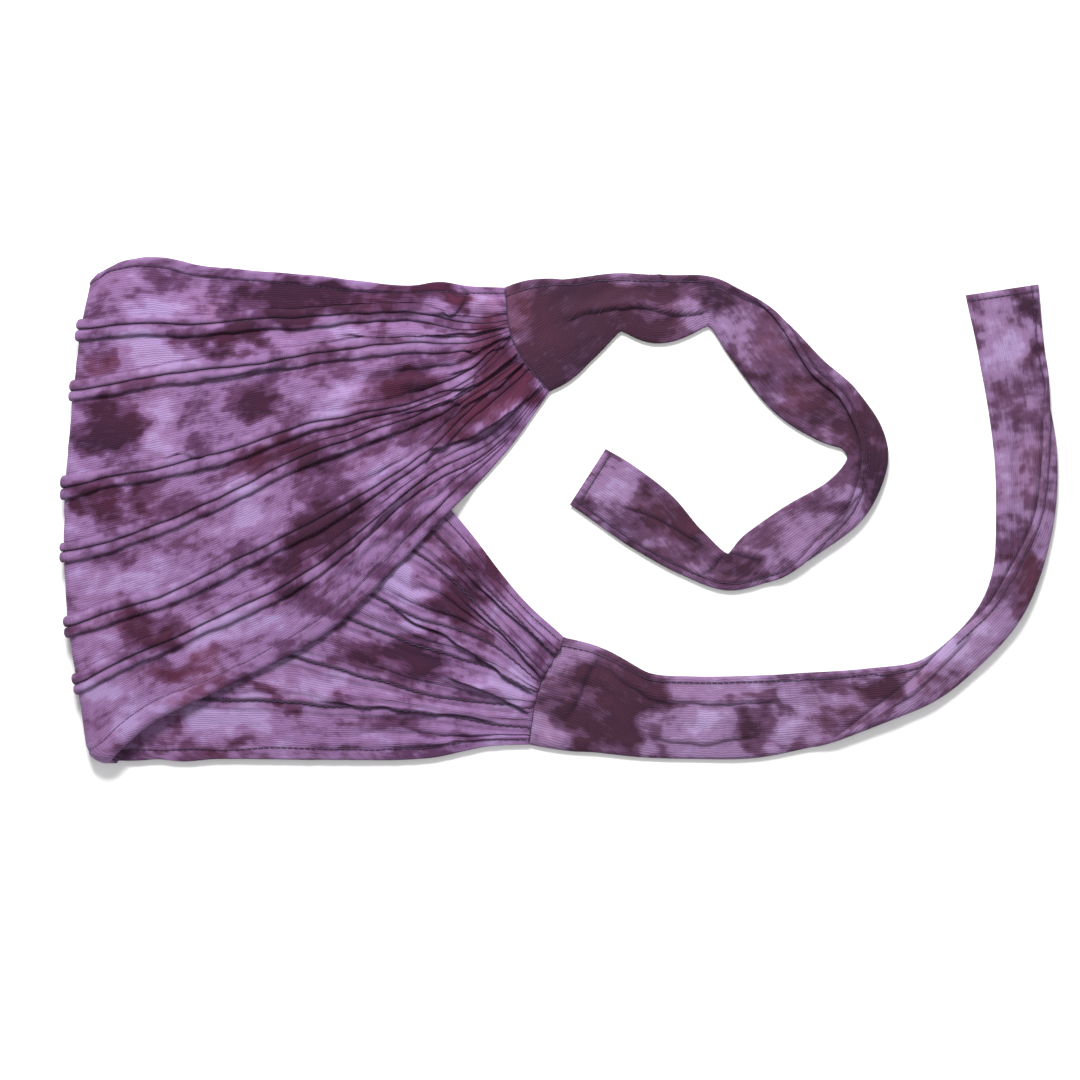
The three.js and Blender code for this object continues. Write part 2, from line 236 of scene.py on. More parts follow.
# Where a hem bulges: the half and the line, then place and reach along the half, and its rise in mm
BULGES = {
    (0, 0): [(0.035, 0.035, 3.6), (0.835, 0.05, 2.0)],
    (0, LAST_LINE): [(0, 0.05, -2.3)],
    (1, LAST_LINE): [(0, 0.05, -2.3), (0.11, 0.045, 2.0)],
}


def is_edge(line):
    return line in (0, LAST_LINE)


def line_wander(half_number, line):
    """How far a line wanders sideways in mm, at even steps along its half."""
    seed = half_number * 20 + line
    slow = noise_grid(STEPS_ALONG, 0 * STEPS_ALONG, SLOW_WANDER, 1, seed)
    quick = noise_grid(STEPS_ALONG, 0 * STEPS_ALONG, QUICK_WANDER, 1, seed + 50)
    held_at_ends = np.sin(math.pi * STEPS_ALONG) ** 0.5
    most = HEM_WANDER if is_edge(line) else SEAM_WANDER
    sideways = most * (slow + 0.5 * quick) * held_at_ends
    for place, reach, rise in BULGES.get((half_number, line), []):
        sideways += rise * np.exp(-(((STEPS_ALONG - place) / reach) ** 2))
    return sideways


for number, half in enumerate((FRONT, BACK)):
    half.wander = [line_wander(number, line) for line in range(LAST_LINE + 1)]
    print("most wander in mm:", round(max(float(np.abs(line).max()) for line in half.wander), 1))

# %% [markdown]
# Now every place on the inner face can be worked out from its line and its row. The crown is the far
# side of the fold's roll. It draws back beside each hem, because a free edge is not held out by a
# neighbour. The front half hangs loose by the fold, settles on the back half's ridges, and comes down
# to the floor where the back half no longer carries it.

# %% Points of the inner face
CORNER_REACH = 0.22
TOP_CORNER_PULL = 6
LOW_CORNER_PULL = 9


def rest_height(line, run):
    """How high cloth lies that rests on its own ridges."""
    return CLOTH + between_lines(PROUD, line) * smooth_at(PLACES, RIDGING, run)


def line_heights(half, run):
    """The heights of all eight lines of a half, at each share along it."""
    return np.array([
        smooth_at(PLACES, heights, run) * BAND_WIDTH + np.interp(run, STEPS_ALONG, wander)
        for heights, wander in zip(half.heights, half.wander)
    ])


def crown_at(line):
    """How far in the far side of the fold's roll is, in mm. It draws back towards each hem."""
    near_hem = np.maximum(1 - line / CORNER_REACH, 1 - (LAST_LINE - line) / CORNER_REACH)
    rounded = 1 - np.sqrt(1 - np.clip(near_hem, 0, 1) ** 2)
    pull = np.where(line < LAST_LINE / 2, TOP_CORNER_PULL, LOW_CORNER_PULL)
    return between_lines(CROWNS, line) + pull * rounded


def cover_height(line, x, y, past_roll):
    """How high the front half's inner face lies, past the fold's roll."""
    flat = smoothstep(past_roll, 0, HOLLOW_REACH)
    loose = rest_height(line, 0 * x) + HOLLOW
    lying = CLOTH + RIDGE_HEIGHT + HALVES_GAP
    top_run = np.clip((x - CROWNS[0]) / (BACK.seam[0] - CROWNS[0]), 0, 1)
    past_edge = y - smooth_at(PLACES, BACK.heights[0], top_run) * BAND_WIDTH
    fallen = smoothstep(past_edge, 0, DROP_REACH) * flat
    return lerp(loose, lying, flat) * (1 - fallen)


def band_point(line):
    """Points of the inner face in mm, for an array of lines with a row for each row of the band."""
    radius = HOLLOW / 2
    front = ROWS.up > 0
    crown = crown_at(line)
    end = between_lines(np.where(front, FRONT.seam, BACK.seam), line)
    x = lerp(crown + radius * (1 - np.cos(ROWS.turn)), end, ROWS.share)
    run = np.clip((x - crown) / (end - crown), 0, 1)
    y_front = between_lines(line_heights(FRONT, run), line)
    y_back = between_lines(line_heights(BACK, run), line)
    y = np.where(front, y_front, y_back)
    turning = rest_height(line, 0 * run) + radius * (1 + ROWS.up * np.sin(ROWS.turn))
    cover = cover_height(line, x, y, x - crown - radius)
    on_half = ROWS.turn > math.pi / 2 - 1e-6
    z = np.where(on_half, np.where(front, cover, rest_height(line, run)), turning)
    return np.stack([x, y, z], axis=-1)


def facing(points):
    """The direction that the outer side faces, at each point of a grid."""
    ahead = np.gradient(points, axis=0)
    aside = np.gradient(points, axis=1)
    normal = np.cross(ahead, aside)
    return normal / np.linalg.norm(normal, axis=-1, keepdims=True)


def along(points):
    """The distance along each strand of a grid, from its first row."""
    steps = np.linalg.norm(np.diff(points, axis=0), axis=-1)
    return np.concatenate([np.zeros((1, points.shape[1])), np.cumsum(steps, axis=0)])


MIDDLE = band_point(np.full((ROWS.share.shape[0], 1), LAST_LINE / 2))
print("band along its middle, tie to tie:", round(float(along(MIDDLE)[-1, 0])), "mm")

# %% [markdown]
# Every jersey edge curls when it is cut. The seams of this headband are sewn with their allowances on
# the outside, so each seam shows two small rolls side by side, with the stitching deep between them.
# A roll is drawn as most of an ellipse, which tucks under at its foot. That undercut casts a real
# shadow in the thin dark line beside each roll, which a plain bump in a material couldn't cast, and
# the line is made darker still with painted shade in the cloth's colour.

# %% The section of a strip
ROLL_STRANDS = 10
PANEL_STRANDS = 27
HEM_STRANDS = 8
MOST_BORDER = 0.3
ROLL_FROM = math.radians(205)
ROLL_TO = math.radians(-42)
ROLL_CENTRE = 0.42
LEAST_HEIGHT = 0.04
SWELL_LENGTH = 26
SMALL_SWELL_LENGTH = 7
WIDTH_SWELL = 0.3
HEIGHT_SWELL = 0.16
SMALL_SWELL = 0.1
LEAST_SPREAD = 0.4


def roll_section():
    """Places across and heights of a curled allowance, as shares of its width and height."""
    angle = np.linspace(ROLL_FROM, ROLL_TO, ROLL_STRANDS)
    across = 0.5 + 0.5 * np.cos(angle)
    height = ROLL_CENTRE + (1 - ROLL_CENTRE) * np.sin(angle)
    return across, np.maximum(height, LEAST_HEIGHT)


def hem_section():
    """The same for a hem, which is flat on top with a rounded outer edge and a stitched inner one."""
    across = np.linspace(0, 1, HEM_STRANDS)
    rounded = np.sqrt(np.clip(1 - (2 * across - 1) ** 6, 0.02, 1))
    return across, rounded * (1 - 0.25 * across)


def border(line, width, ridging, distance, seed):
    """The strands of a strip beside one of its lines: where the inner and the outer face lie, as
    shares of the strip, and how far the outer side stands out in mm."""
    if is_edge(line):
        across, height = hem_section()
        wide, high, free = HEM_WIDTH, HEM_HEIGHT, 0
    else:
        across, height = roll_section()
        wide, high, free = ROLL_WIDTH, ROLL_HEIGHT, SEAM_GAP / 2
    swell = noise_grid(distance, 0 * distance, SWELL_LENGTH, 1, seed)
    small = noise_grid(distance, 0 * distance, SMALL_SWELL_LENGTH, 1, seed + 3)
    wide = wide * (1 + WIDTH_SWELL * swell + SMALL_SWELL * small)
    share = np.minimum(wide * lerp(LEAST_SPREAD, 1, ridging) / width, MOST_BORDER)
    squeeze = np.minimum(1, share * width / wide + LEAST_SPREAD)
    high = high * (1 + HEIGHT_SWELL * swell + SMALL_SWELL * small) * ridging * squeeze
    gap = free / width
    return SimpleNamespace(
        inner_at=gap + (share - gap) * np.linspace(0, 1, len(across))[None, :],
        outer_at=gap + (share - gap) * across[None, :],
        stand=high * height[None, :],
        share=share,
    )


print("strands across a strip between two seams:", 2 * ROLL_STRANDS + PANEL_STRANDS)

# %% [markdown]
# Between its two borders a strip is a plain panel. It is smooth by the fold, ripples a little as it
# runs on, and is drawn up into sharp pleats where it meets a tie. The pleats have round tops and
# narrow valleys, as gathered cloth does, because each is pressed against its neighbours.

# %% Relief of a panel
PLEATS = [1, 1, 2, 1, 1, 1, 2]
PLEAT_SHARPNESS = 0.85
VALLEY_WIDTH = 0.42
# Noise, each with its strength and its sizes in mm
RIPPLE, RIPPLE_SIZES = 0.6, (34, 9)
SMALL_RIPPLE, SMALL_RIPPLE_SIZES = 0.34, (14, 5)
PLEAT_WANDER, PLEAT_WANDER_SIZES = 0.4, (24, 1)
SMALL_PLEAT_WANDER, SMALL_PLEAT_WANDER_SIZES = 0.15, (9, 1)
PLEAT_PATCHES, PLEAT_PATCH_SIZES = 0.5, (18, 9)
PANEL_EDGE = 0.1
LEAST_WANDER = 0.3


def panel_relief(strip, q, width, distance, pleating, seed):
    """Height in mm over a panel, and how deep in a valley it is from 0 to 1. q is the share across
    the panel, and distance is along the strip."""
    across = q * width
    wander = PLEAT_WANDER * noise_grid(distance, 0 * distance, *PLEAT_WANDER_SIZES, seed)
    wander += SMALL_PLEAT_WANDER * noise_grid(distance, 0 * distance, *SMALL_PLEAT_WANDER_SIZES, seed + 7)
    phase = PLEATS[strip] * (q + wander * np.sin(math.pi * q) * lerp(LEAST_WANDER, 1, pleating))
    tops = np.abs(np.sin(math.pi * phase)) ** PLEAT_SHARPNESS
    fade = smoothstep(q, 0, PANEL_EDGE) * smoothstep(1 - q, 0, PANEL_EDGE)
    size = PLEAT_HEIGHT * pleating * np.minimum(1, width / FULL_PLEAT_WIDTH)
    even = 0.85 + PLEAT_PATCHES * noise_grid(distance, across, *PLEAT_PATCH_SIZES, seed + 5)
    pleats = size * tops * even * fade
    valley = np.exp(-((tops / VALLEY_WIDTH) ** 2)) * pleating * fade
    ripples = RIPPLE * noise_grid(distance, across, *RIPPLE_SIZES, seed + 1)
    ripples += SMALL_RIPPLE * noise_grid(distance, across, *SMALL_RIPPLE_SIZES, seed + 2)
    return pleats + ripples * fade * (0.7 + 0.9 * pleating), valley


print("pleats at each tie:", sum(PLEATS))

# %% [markdown]
# Some folds are the headband's own: the gathers beside the upper tie, a long fold down the front and
# the creases of the back that run into the lower tie. Each is drawn as a line along its dark side,
# with the cloth rising steeply on one side and easing away, as a fold that lies over does, and painted
# shade darkens the cloth's colour along that side.

# %% Folds listed one by one
# height and reach in mm, then places along the dark side in view pixels, with the fold on its left.
VIEW_PIXELS = 1080
MM_PER_PIXEL = 0.46
VIEW_CENTRE = (-8.74, -13.57)
FRONT_FOLDS = [
    (2.2, 5, [(332, 334), (376, 336), (424, 335), (453, 333), (482, 329), (510, 327)]),
    (1.6, 4, [(330, 318), (380, 312), (430, 312), (470, 316), (510, 316)]),
    (2.4, 5, [(422, 466), (430, 452), (443, 445), (472, 433), (501, 416), (524, 403)]),
    (1.6, 4, [(436, 404), (455, 398), (472, 383), (474, 372)]),
    (1.8, 4, [(440, 314), (456, 312), (463, 302), (466, 292), (458, 284)]),
    (1.8, 3.5, [(461, 348), (473, 352), (494, 340), (516, 335)]),
    (1.8, 3.5, [(440, 372), (471, 368), (490, 352), (510, 343)]),
    (2.2, 4, [(430, 392), (475, 386), (503, 365), (524, 352)]),
    (1.8, 4, [(455, 408), (498, 388), (511, 374), (527, 360)]),
    (2.2, 4, [(470, 432), (526, 400), (545, 383)]),
    (1.8, 4, [(380, 420), (430, 407), (447, 400), (460, 404), (440, 430), (415, 452)]),
    (1.2, 4, [(163, 461), (177, 455), (208, 459)]),
    (1.2, 5, [(300, 470), (360, 446), (400, 428)]),
    (1.2, 5, [(360, 540), (400, 500), (432, 470)]),
    (1.0, 5, [(190, 380), (240, 372), (290, 366)]),
]
BACK_FOLDS = [
    (2.4, 6, [(376, 595), (415, 622), (472, 650), (501, 675), (539, 698)]),
    (2.2, 6, [(440, 671), (491, 692), (533, 717)]),
    (2.2, 5, [(450, 560), (500, 605), (541, 643), (557, 656)]),
    (2.0, 5, [(450, 590), (500, 631), (532, 669), (543, 683)]),
    (1.6, 5, [(300, 700), (380, 708), (450, 716), (500, 722)]),
]
UPPER_FOLDS = [
    (2.0, 5, [(560, 322), (580, 314), (632, 305), (673, 314), (721, 311)]),
    (1.2, 4, [(760, 345), (800, 380), (830, 420)]),
    (1.4, 4, [(690, 585), (722, 556), (735, 553), (765, 560)]),
    (1.2, 5, [(610, 500), (660, 520), (705, 545)]),
    (1.2, 4, [(800, 550), (840, 520), (862, 490)]),
]
LOWER_FOLDS = [
    (1.6, 6, [(564, 722), (580, 690), (599, 653)]),
    (1.3, 5, [(600, 665), (650, 700), (720, 705), (790, 700)]),
    (1.2, 5, [(880, 715), (930, 680), (975, 630)]),
    (1.2, 4, [(1015, 520), (1012, 460), (1018, 400)]),
    (1.1, 5, [(640, 735), (700, 745), (760, 735)]),
]
print("folds laid by hand:", len(FRONT_FOLDS + BACK_FOLDS + UPPER_FOLDS + LOWER_FOLDS))

# %% [markdown]
# A fold follows its line, so all that a point of the cloth needs to know is how far it is from the
# line, on which side, and how far along. The fold's height and the painted shade on its dark side
# follow from these. Noise moves the line a little first, because a fold of soft cloth is never as
# straight as its marks.

# %% Height and painted shade of the laid folds
FOLD_RISE = 1.1
# The reach in mm of the painted shade along a fold's dark side
FOLD_SHADE_REACH = 0.8
FOLD_WOBBLE = 3
FOLD_WOBBLE_SIZE = 22


def view_pixels(points):
    """Where points in mm in the frame are seen, in view pixels."""
    x = (points[..., 0] - VIEW_CENTRE[0]) / MM_PER_PIXEL + VIEW_PIXELS / 2
    y = VIEW_PIXELS / 2 - (points[..., 1] - VIEW_CENTRE[1]) / MM_PER_PIXEL
    return x, y


def side_distance(x, y, line):
    """The distance in mm from a line of places, positive on its left, and the share along it."""
    nearest = np.full(x.shape, 1e9)
    side = np.ones(x.shape)
    share = np.zeros(x.shape)
    for n, ((x0, y0), (x1, y1)) in enumerate(zip(line, line[1:])):
        dx, dy = x1 - x0, y1 - y0
        t = np.clip(((x - x0) * dx + (y - y0) * dy) / (dx * dx + dy * dy), 0, 1)
        away = np.hypot(x - x0 - t * dx, y - y0 - t * dy)
        closer = away < nearest
        nearest = np.where(closer, away, nearest)
        side = np.where(closer, np.sign(dy * (x - x0) - dx * (y - y0)), side)
        share = np.where(closer, (n + t) / (len(line) - 1), share)
    return nearest * side * MM_PER_PIXEL, share


def laid_folds(points, folds, seed):
    """Height in mm, and painted shade from 0 to 1, of the listed folds over points in the frame."""
    x, y = view_pixels(points)
    x = x + FOLD_WOBBLE * noise_grid(x, y, FOLD_WOBBLE_SIZE, FOLD_WOBBLE_SIZE, seed)
    y = y + FOLD_WOBBLE * noise_grid(x, y, FOLD_WOBBLE_SIZE, FOLD_WOBBLE_SIZE, seed + 1)
    height, dark = 0 * x, 0 * x
    for most, reach, line in folds:
        away, share = side_distance(x, y, line)
        ends = smoothstep(share, 0, 0.2) * smoothstep(1 - share, 0, 0.12)
        rise = smoothstep(away, -0.3, FOLD_RISE)
        height += most * ends * rise * np.exp(-((np.maximum(away, 0) / reach) ** 2))
        # Painted shade: the cloth's colour is darkened along the dark side of each fold
        dark = np.maximum(dark, ends * np.exp(-(((away + 0.3) / FOLD_SHADE_REACH) ** 2)))
    return height, dark


print("highest fold laid by hand in mm:", max(fold[0] for fold in FRONT_FOLDS + BACK_FOLDS))

# %% [markdown]
# A strip is put together from what came before: two borders with a panel between them, laid on the
# band's inner face. It is made of strands that run its whole length, as yarn does, and they are closer
# together by the borders, where the shape changes fastest, than in the middle of the panel.

# %% Strands of a strip
PANEL_CROWDING = 0.6


def strip_strands(strip):
    """How a strip's strands are spread between its two lines, from its top border to its low one."""
    sides = band_point(np.zeros_like(ROWS.share) + np.array([[strip, strip + 1]]))
    width = np.linalg.norm(sides[:, 1] - sides[:, 0], axis=-1)[:, None]
    distance = along(sides)[:, :1]
    ridging = smooth_at(PLACES, ROLLING_OUT, ROWS.share)
    top = border(strip, width, ridging, distance, 11 * strip + 1)
    low = border(strip + 1, width, ridging, distance, 11 * strip + 6)
    even = np.linspace(0, 1, PANEL_STRANDS + 2)[None, 1:-1]
    q = lerp(even, 0.5 - 0.5 * np.cos(math.pi * even), PANEL_CROWDING)
    panel_at = lerp(top.share, 1 - low.share, q)
    return SimpleNamespace(
        width=width, distance=distance, ridging=ridging, top=top, low=low, q=q,
        inner_at=np.concatenate([top.inner_at, panel_at, 1 - low.inner_at[:, ::-1]], axis=1),
        outer_at=np.concatenate([top.outer_at, panel_at, 1 - low.outer_at[:, ::-1]], axis=1),
        stand=np.concatenate([top.stand, 0 * panel_at, low.stand[:, ::-1]], axis=1),
    )


for strip in range(STRIPS):
    print("strip", strip + 1, "at its widest in mm:", round(float(strip_strands(strip).width.max())))

# %% [markdown]
# The relief is what a strip does between its borders: its pleats, and the listed folds. A
# displacement modifier could raise it, but here its heights are needed as numbers, because the folds
# also lean and the stitches follow them. The depth of each valley and seam is kept too, because the
# material paints shade into the cloth's colour there, as a darker line in each deep crease.

# %% Relief and painted shade lines of a strip
# How far the painted shade lines reach, how dark they are in the valleys and at the roll feet, and the
# least share of it where the seams flatten
SHADE_REACH = 0.5
VALLEY_SHADE = 0.8
FOOT_SHADE = 0.5
LEAST_SHADE = 0.3


def strip_relief(strip, strands, inner):
    """Height in mm and painted shade from 0 to 1 of a strip's pleats and folds, over its whole grid."""
    pleating = smooth_at(PLACES, PLEATING, ROWS.share)
    panel_width = strands.width * (1 - strands.top.share - strands.low.share)
    panel, valley = panel_relief(strip, strands.q, panel_width, strands.distance, pleating, 5 * strip)
    first = strands.top.inner_at.shape[1]
    relief, dark = np.zeros_like(strands.inner_at), np.zeros_like(strands.inner_at)
    relief[:, first : first + PANEL_STRANDS] = panel
    # Painted shade in the valleys between the pleats
    dark[:, first : first + PANEL_STRANDS] = VALLEY_SHADE * valley
    front_fold, front_dark = laid_folds(inner + FRAME_SHIFT, FRONT_FOLDS, 3)
    back_fold, back_dark = laid_folds(inner + FRAME_SHIFT, BACK_FOLDS, 8)
    past_fold = smoothstep(ROWS.share, 0.02, 0.1)
    front = ROWS.up > 0
    relief = relief + np.where(front, front_fold, back_fold) * past_fold
    dark = np.maximum(dark, np.where(front, front_dark, back_dark) * past_fold)
    return relief, dark


def dark_line(away):
    return np.exp(-((away / SHADE_REACH) ** 2))


def seam_darkness(strip, strands):
    """Painted shade of the deep line in each seam, which also stands for the seam's dark thread, and of the
    finer one at the foot of each roll.
    """
    dark = 0
    for side, line, at in (
        (strands.top, strip, strands.outer_at), (strands.low, strip + 1, 1 - strands.outer_at),
    ):
        # The foot line is painted shade under each roll; the seam line is painted shade and the seam's
        # thread together
        foot = FOOT_SHADE * dark_line(np.abs(at - side.share) * strands.width)
        seam = dark_line(at * strands.width) * (0 if is_edge(line) else 1)
        dark = np.maximum(dark, np.maximum(foot, seam) * lerp(LEAST_SHADE, 1, strands.ridging))
    return dark


print("dark line of a seam in mm:", 2 * SHADE_REACH, "wide")

# %% [markdown]
# The inner face is raised by the relief, and the outer face lies one cloth away from it, with the
# curled edges standing out further. On the two halves a fold rises straight up from the floor and
# leans towards the viewer's side, so it lies over. Round the fold of the band it stands outwards.

# %% The shape of a strip
FOLD_LEAN = 0.45
LOWEST_RELIEF = -0.6
RELIEF_ROUND_FOLD = 0.6
PUCKER = 0.25
PUCKER_SIZES = (5, 6)
PUCKER_REACH = 6


def strip_shape(strip):
    """The two faces of a strip in mm, and what its cloth needs to know at each point."""
    strands = strip_strands(strip)
    bare = band_point(strip + strands.inner_at)
    out = facing(bare)
    relief, dark = strip_relief(strip, strands, bare)
    from_seam = np.minimum(strands.inner_at, 1 - strands.inner_at) * strands.width
    pucker = PUCKER * noise_grid(strands.distance, from_seam, *PUCKER_SIZES, strip + 40)
    pucker = pucker * np.exp(-((from_seam / PUCKER_REACH) ** 2))
    lifted = np.zeros_like(bare)
    lifted[..., 2] = np.maximum(relief, LOWEST_RELIEF)
    lifted[..., 1] = -FOLD_LEAN * np.maximum(relief, 0)
    past_fold = smoothstep(ROWS.share, 0, 0.05)[..., None]
    near_fold = out * relief[..., None] * RELIEF_ROUND_FOLD
    inner = bare + lerp(near_fold, lifted, past_fold) + out * pucker[..., None]
    outer = band_point(strip + strands.outer_at) + (inner - bare)
    outer = outer + out * (CLOTH + strands.stand)[..., None]
    outer[..., 2] = np.maximum(outer[..., 2], 0)
    return SimpleNamespace(
        outer=outer,
        inner=inner,
        across=(strands.inner_at - 0.5) * strands.width,
        length=strands.distance + 0 * strands.inner_at,
        roll=(strands.stand > 0.02).astype(float),
        # The painted shade of the folds, valleys, roll feet and seams, by which the material darkens the
        # colour
        painted_shade=np.maximum(dark, seam_darkness(strip, strands)),
        layer=np.broadcast_to(ROWS.up, strands.inner_at.shape),
    )


print("a fold 2 mm high leans over by:", 2 * FOLD_LEAN, "mm")

# %% [markdown]
# Tie-dye is cloth that was bound, dipped and opened again: pools of dark dye with soft edges, lighter
# cloth where the binding kept the dye out, and a redder tinge where it ran thin. The pools are placed
# by a short list, one row for each pool, and noise makes their edges. The
# result is kept at each point of the cloth as two numbers, how much dye and how red, and the material
# turns them into colour. Image textures would give the same look, but a given rule fits any size.

# %% Pools of dye
# across and down: the middle of the pool, in pixels of a 1080-pixel view from above.
# long and wide: its half sizes. turn: its slant in degrees. dye: from -1, pale, to 1, dark. red: tinge.
POOL_COLUMNS = ("across", "down", "long", "wide", "turn", "dye", "red")
FRONT_POOLS = [
    (278, 298, 64, 15, 2, 1.0, 0.1), (446, 292, 26, 12, 0, 0.7, 0.4), (103, 362, 12, 16, 0, 0.5, 0.9),
    (226, 346, 40, 12, -6, 0.7, 0.3), (102, 430, 32, 26, 0, 0.95, 0.2), (252, 402, 22, 18, 30, 0.7, 0.1),
    (284, 456, 54, 14, 20, 0.8, 0.5), (97, 505, 16, 16, 0, 0.8, 0.3), (146, 498, 18, 12, 0, 0.6, 0.2),
    (326, 528, 42, 26, 35, 0.9, 0.1), (140, 630, 34, 16, 8, 0.7, 0.4), (282, 566, 32, 18, 30, 0.8, 0.1),
    (190, 664, 46, 14, 20, 0.65, 0.9), (200, 690, 28, 9, 25, 0.6, 0.8), (480, 345, 26, 26, 0, 0.7, 0.7),
    (400, 388, 40, 14, 15, 0.6, 0.5), (492, 400, 46, 20, 42, 0.6, 0.5), (455, 300, 20, 10, 0, 0.6, 0.5),
    (148, 306, 34, 15, 0, -0.8, 0), (150, 352, 34, 14, 5, -0.7, 0), (163, 424, 26, 28, 0, -0.8, 0),
    (132, 582, 62, 20, 8, -0.75, 0), (110, 690, 20, 12, 0, -0.7, 0), (250, 510, 36, 20, 25, -0.6, 0),
    (225, 600, 34, 12, 25, -0.5, 0), (340, 336, 40, 12, 0, -0.4, 0), (385, 470, 30, 14, 35, -0.5, 0),
    (200, 310, 14, 14, 0, -0.4, 0.3), (330, 400, 34, 14, 20, -0.4, 0), (120, 720, 20, 14, 45, -0.5, 0),
    (380, 430, 70, 24, 30, 0.5, 0.2), (330, 370, 50, 16, 5, 0.3, 0.1), (160, 700, 40, 16, 20, -0.5, 0),
    (210, 630, 40, 12, 20, -0.6, 0), (105, 655, 24, 14, 0, -0.4, 0), (250, 620, 40, 12, 25, -0.5, 0),
    (518, 366, 20, 34, 35, 0.8, 0.4), (500, 318, 24, 10, 0, 0.2, 0.6), (470, 420, 44, 12, 35, 0.4, 0.4),
    (350, 305, 60, 14, 2, 0.5, 0.2), (420, 500, 40, 12, 45, 0.3, 0.2),
    (524, 374, 46, 22, -54, 0.7, 0.3), (486, 304, 24, 14, 0, -0.4, 0.4), (505, 406, 40, 14, 42, 0.4, 0.5),
]
BACK_POOLS = [
    (420, 664, 26, 22, 10, 0.8, 0.1), (458, 606, 28, 22, -40, 0.8, 0.2), (270, 695, 30, 8, 0, 0.7, 0.3),
    (470, 560, 40, 12, -45, 0.6, 0.4), (360, 655, 30, 14, -15, 0.5, 0.2), (200, 752, 60, 8, 0, 0.5, 0.2),
    (395, 728, 40, 8, 0, 0.5, 0.1), (505, 690, 30, 24, -20, -0.9, 0), (398, 586, 24, 16, -20, -0.8, 0),
    (215, 720, 70, 16, 0, -0.6, 0), (330, 690, 40, 12, 0, -0.5, 0), (500, 730, 40, 12, 0, -0.3, 0),
    (152, 728, 26, 12, 20, 0.5, 0.2), (440, 700, 30, 10, -10, -0.4, 0), (420, 620, 20, 10, -30, -0.4, 0),
]
UPPER_POOLS = [
    (514, 304, 22, 18, 0, 0.25, 0.9), (575, 340, 52, 52, 0, 0.95, 0.25), (630, 294, 44, 22, 0, 0.7, 0.2),
    (710, 325, 36, 34, -30, -0.3, 0), (775, 352, 30, 20, -40, 0.15, 0.4), (802, 396, 22, 16, -40, 0.5, 0.7),
    (870, 430, 22, 36, 0, 0.75, 0.2), (868, 490, 16, 20, 0, 0.5, 0.1), (815, 530, 56, 22, 30, -0.5, 0),
    (668, 520, 42, 30, -35, 0.65, 0.5), (612, 480, 30, 30, -35, -0.45, 0), (745, 562, 24, 18, 10, 0.2, 0.1),
    (740, 370, 18, 16, -40, 0.5, 0.2), (650, 330, 26, 12, 0, 0.6, 0.1),
    (700, 290, 40, 12, -8, 0.5, 0.1), (640, 545, 30, 16, -35, 0.3, 0.1), (840, 440, 14, 30, 0, 0.3, 0.1),
]
LOWER_POOLS = [
    (546, 715, 14, 32, 0, -0.2, 0.5), (615, 704, 44, 58, 0, 1.0, 0.3), (702, 718, 46, 38, 0, -0.55, 0),
    (763, 715, 14, 40, 0, 0.35, 0.1), (806, 716, 30, 22, 0, -0.6, 0), (880, 682, 34, 12, 12, 0.9, 0.2),
    (850, 720, 24, 12, 25, 0.2, 0.2), (960, 650, 46, 22, 35, -0.55, 0.1), (1024, 572, 16, 38, 0, 0.75, 0.7),
    (1036, 470, 14, 40, 0, 0.2, 0.4), (1010, 470, 14, 60, 0, -0.4, 0), (1036, 330, 10, 44, 0, 0.7, 0.2),
    (996, 330, 18, 44, 0, -0.6, 0), (1012, 400, 16, 20, 0, 0.35, 0.2), (940, 690, 22, 10, 20, 0.3, 0.3),
    (720, 700, 60, 8, 0, 0.4, 0.2), (800, 738, 50, 8, 10, 0.4, 0.2), (1000, 500, 14, 30, 0, 0.3, 0.1),
]
POOLS = {
    name: [dict(zip(POOL_COLUMNS, row)) for row in rows]
    for name, rows in (
        ("front", FRONT_POOLS), ("back", BACK_POOLS), ("upper", UPPER_POOLS), ("lower", LOWER_POOLS),
    )
}

print("pools of dye:", sum(len(rows) for rows in POOLS.values()))

# %% [markdown]
# Each point of the cloth starts from an even dye and adds what the pools near it bring. Where a pool
# ends is moved about by noise in three sizes, because dye creeps along some yarns faster than others,
# and its edge comes out ragged instead of round.

# %% Dye at each point
BASE_DYE = {"front": 0.52, "back": 0.48, "upper": 0.66, "lower": 0.54}
BASE_RED = 0.18
POOL_STRENGTH = 0.6
# Noise between the pools, each with its strength and its sizes in view pixels
WIDE_DYE, WIDE_DYE_SIZES = 0.3, (40, 24)
WIDE_RED, WIDE_RED_SIZES = 0.25, (60, 60)
MOTTLE, MOTTLE_SIZES = 0.16, (16, 8)
SMALL_MOTTLE, SMALL_MOTTLE_SIZES = 0.1, (7, 4)
# How far a pool's edge wobbles across and down in view pixels, its two ripple sizes and two seeds
POOL_WOBBLES = [(26, 22, 45, 45, 0, 2), (16, 11, 19, 12, 1, 3), (9, 5, 8, 5, 8, 9)]


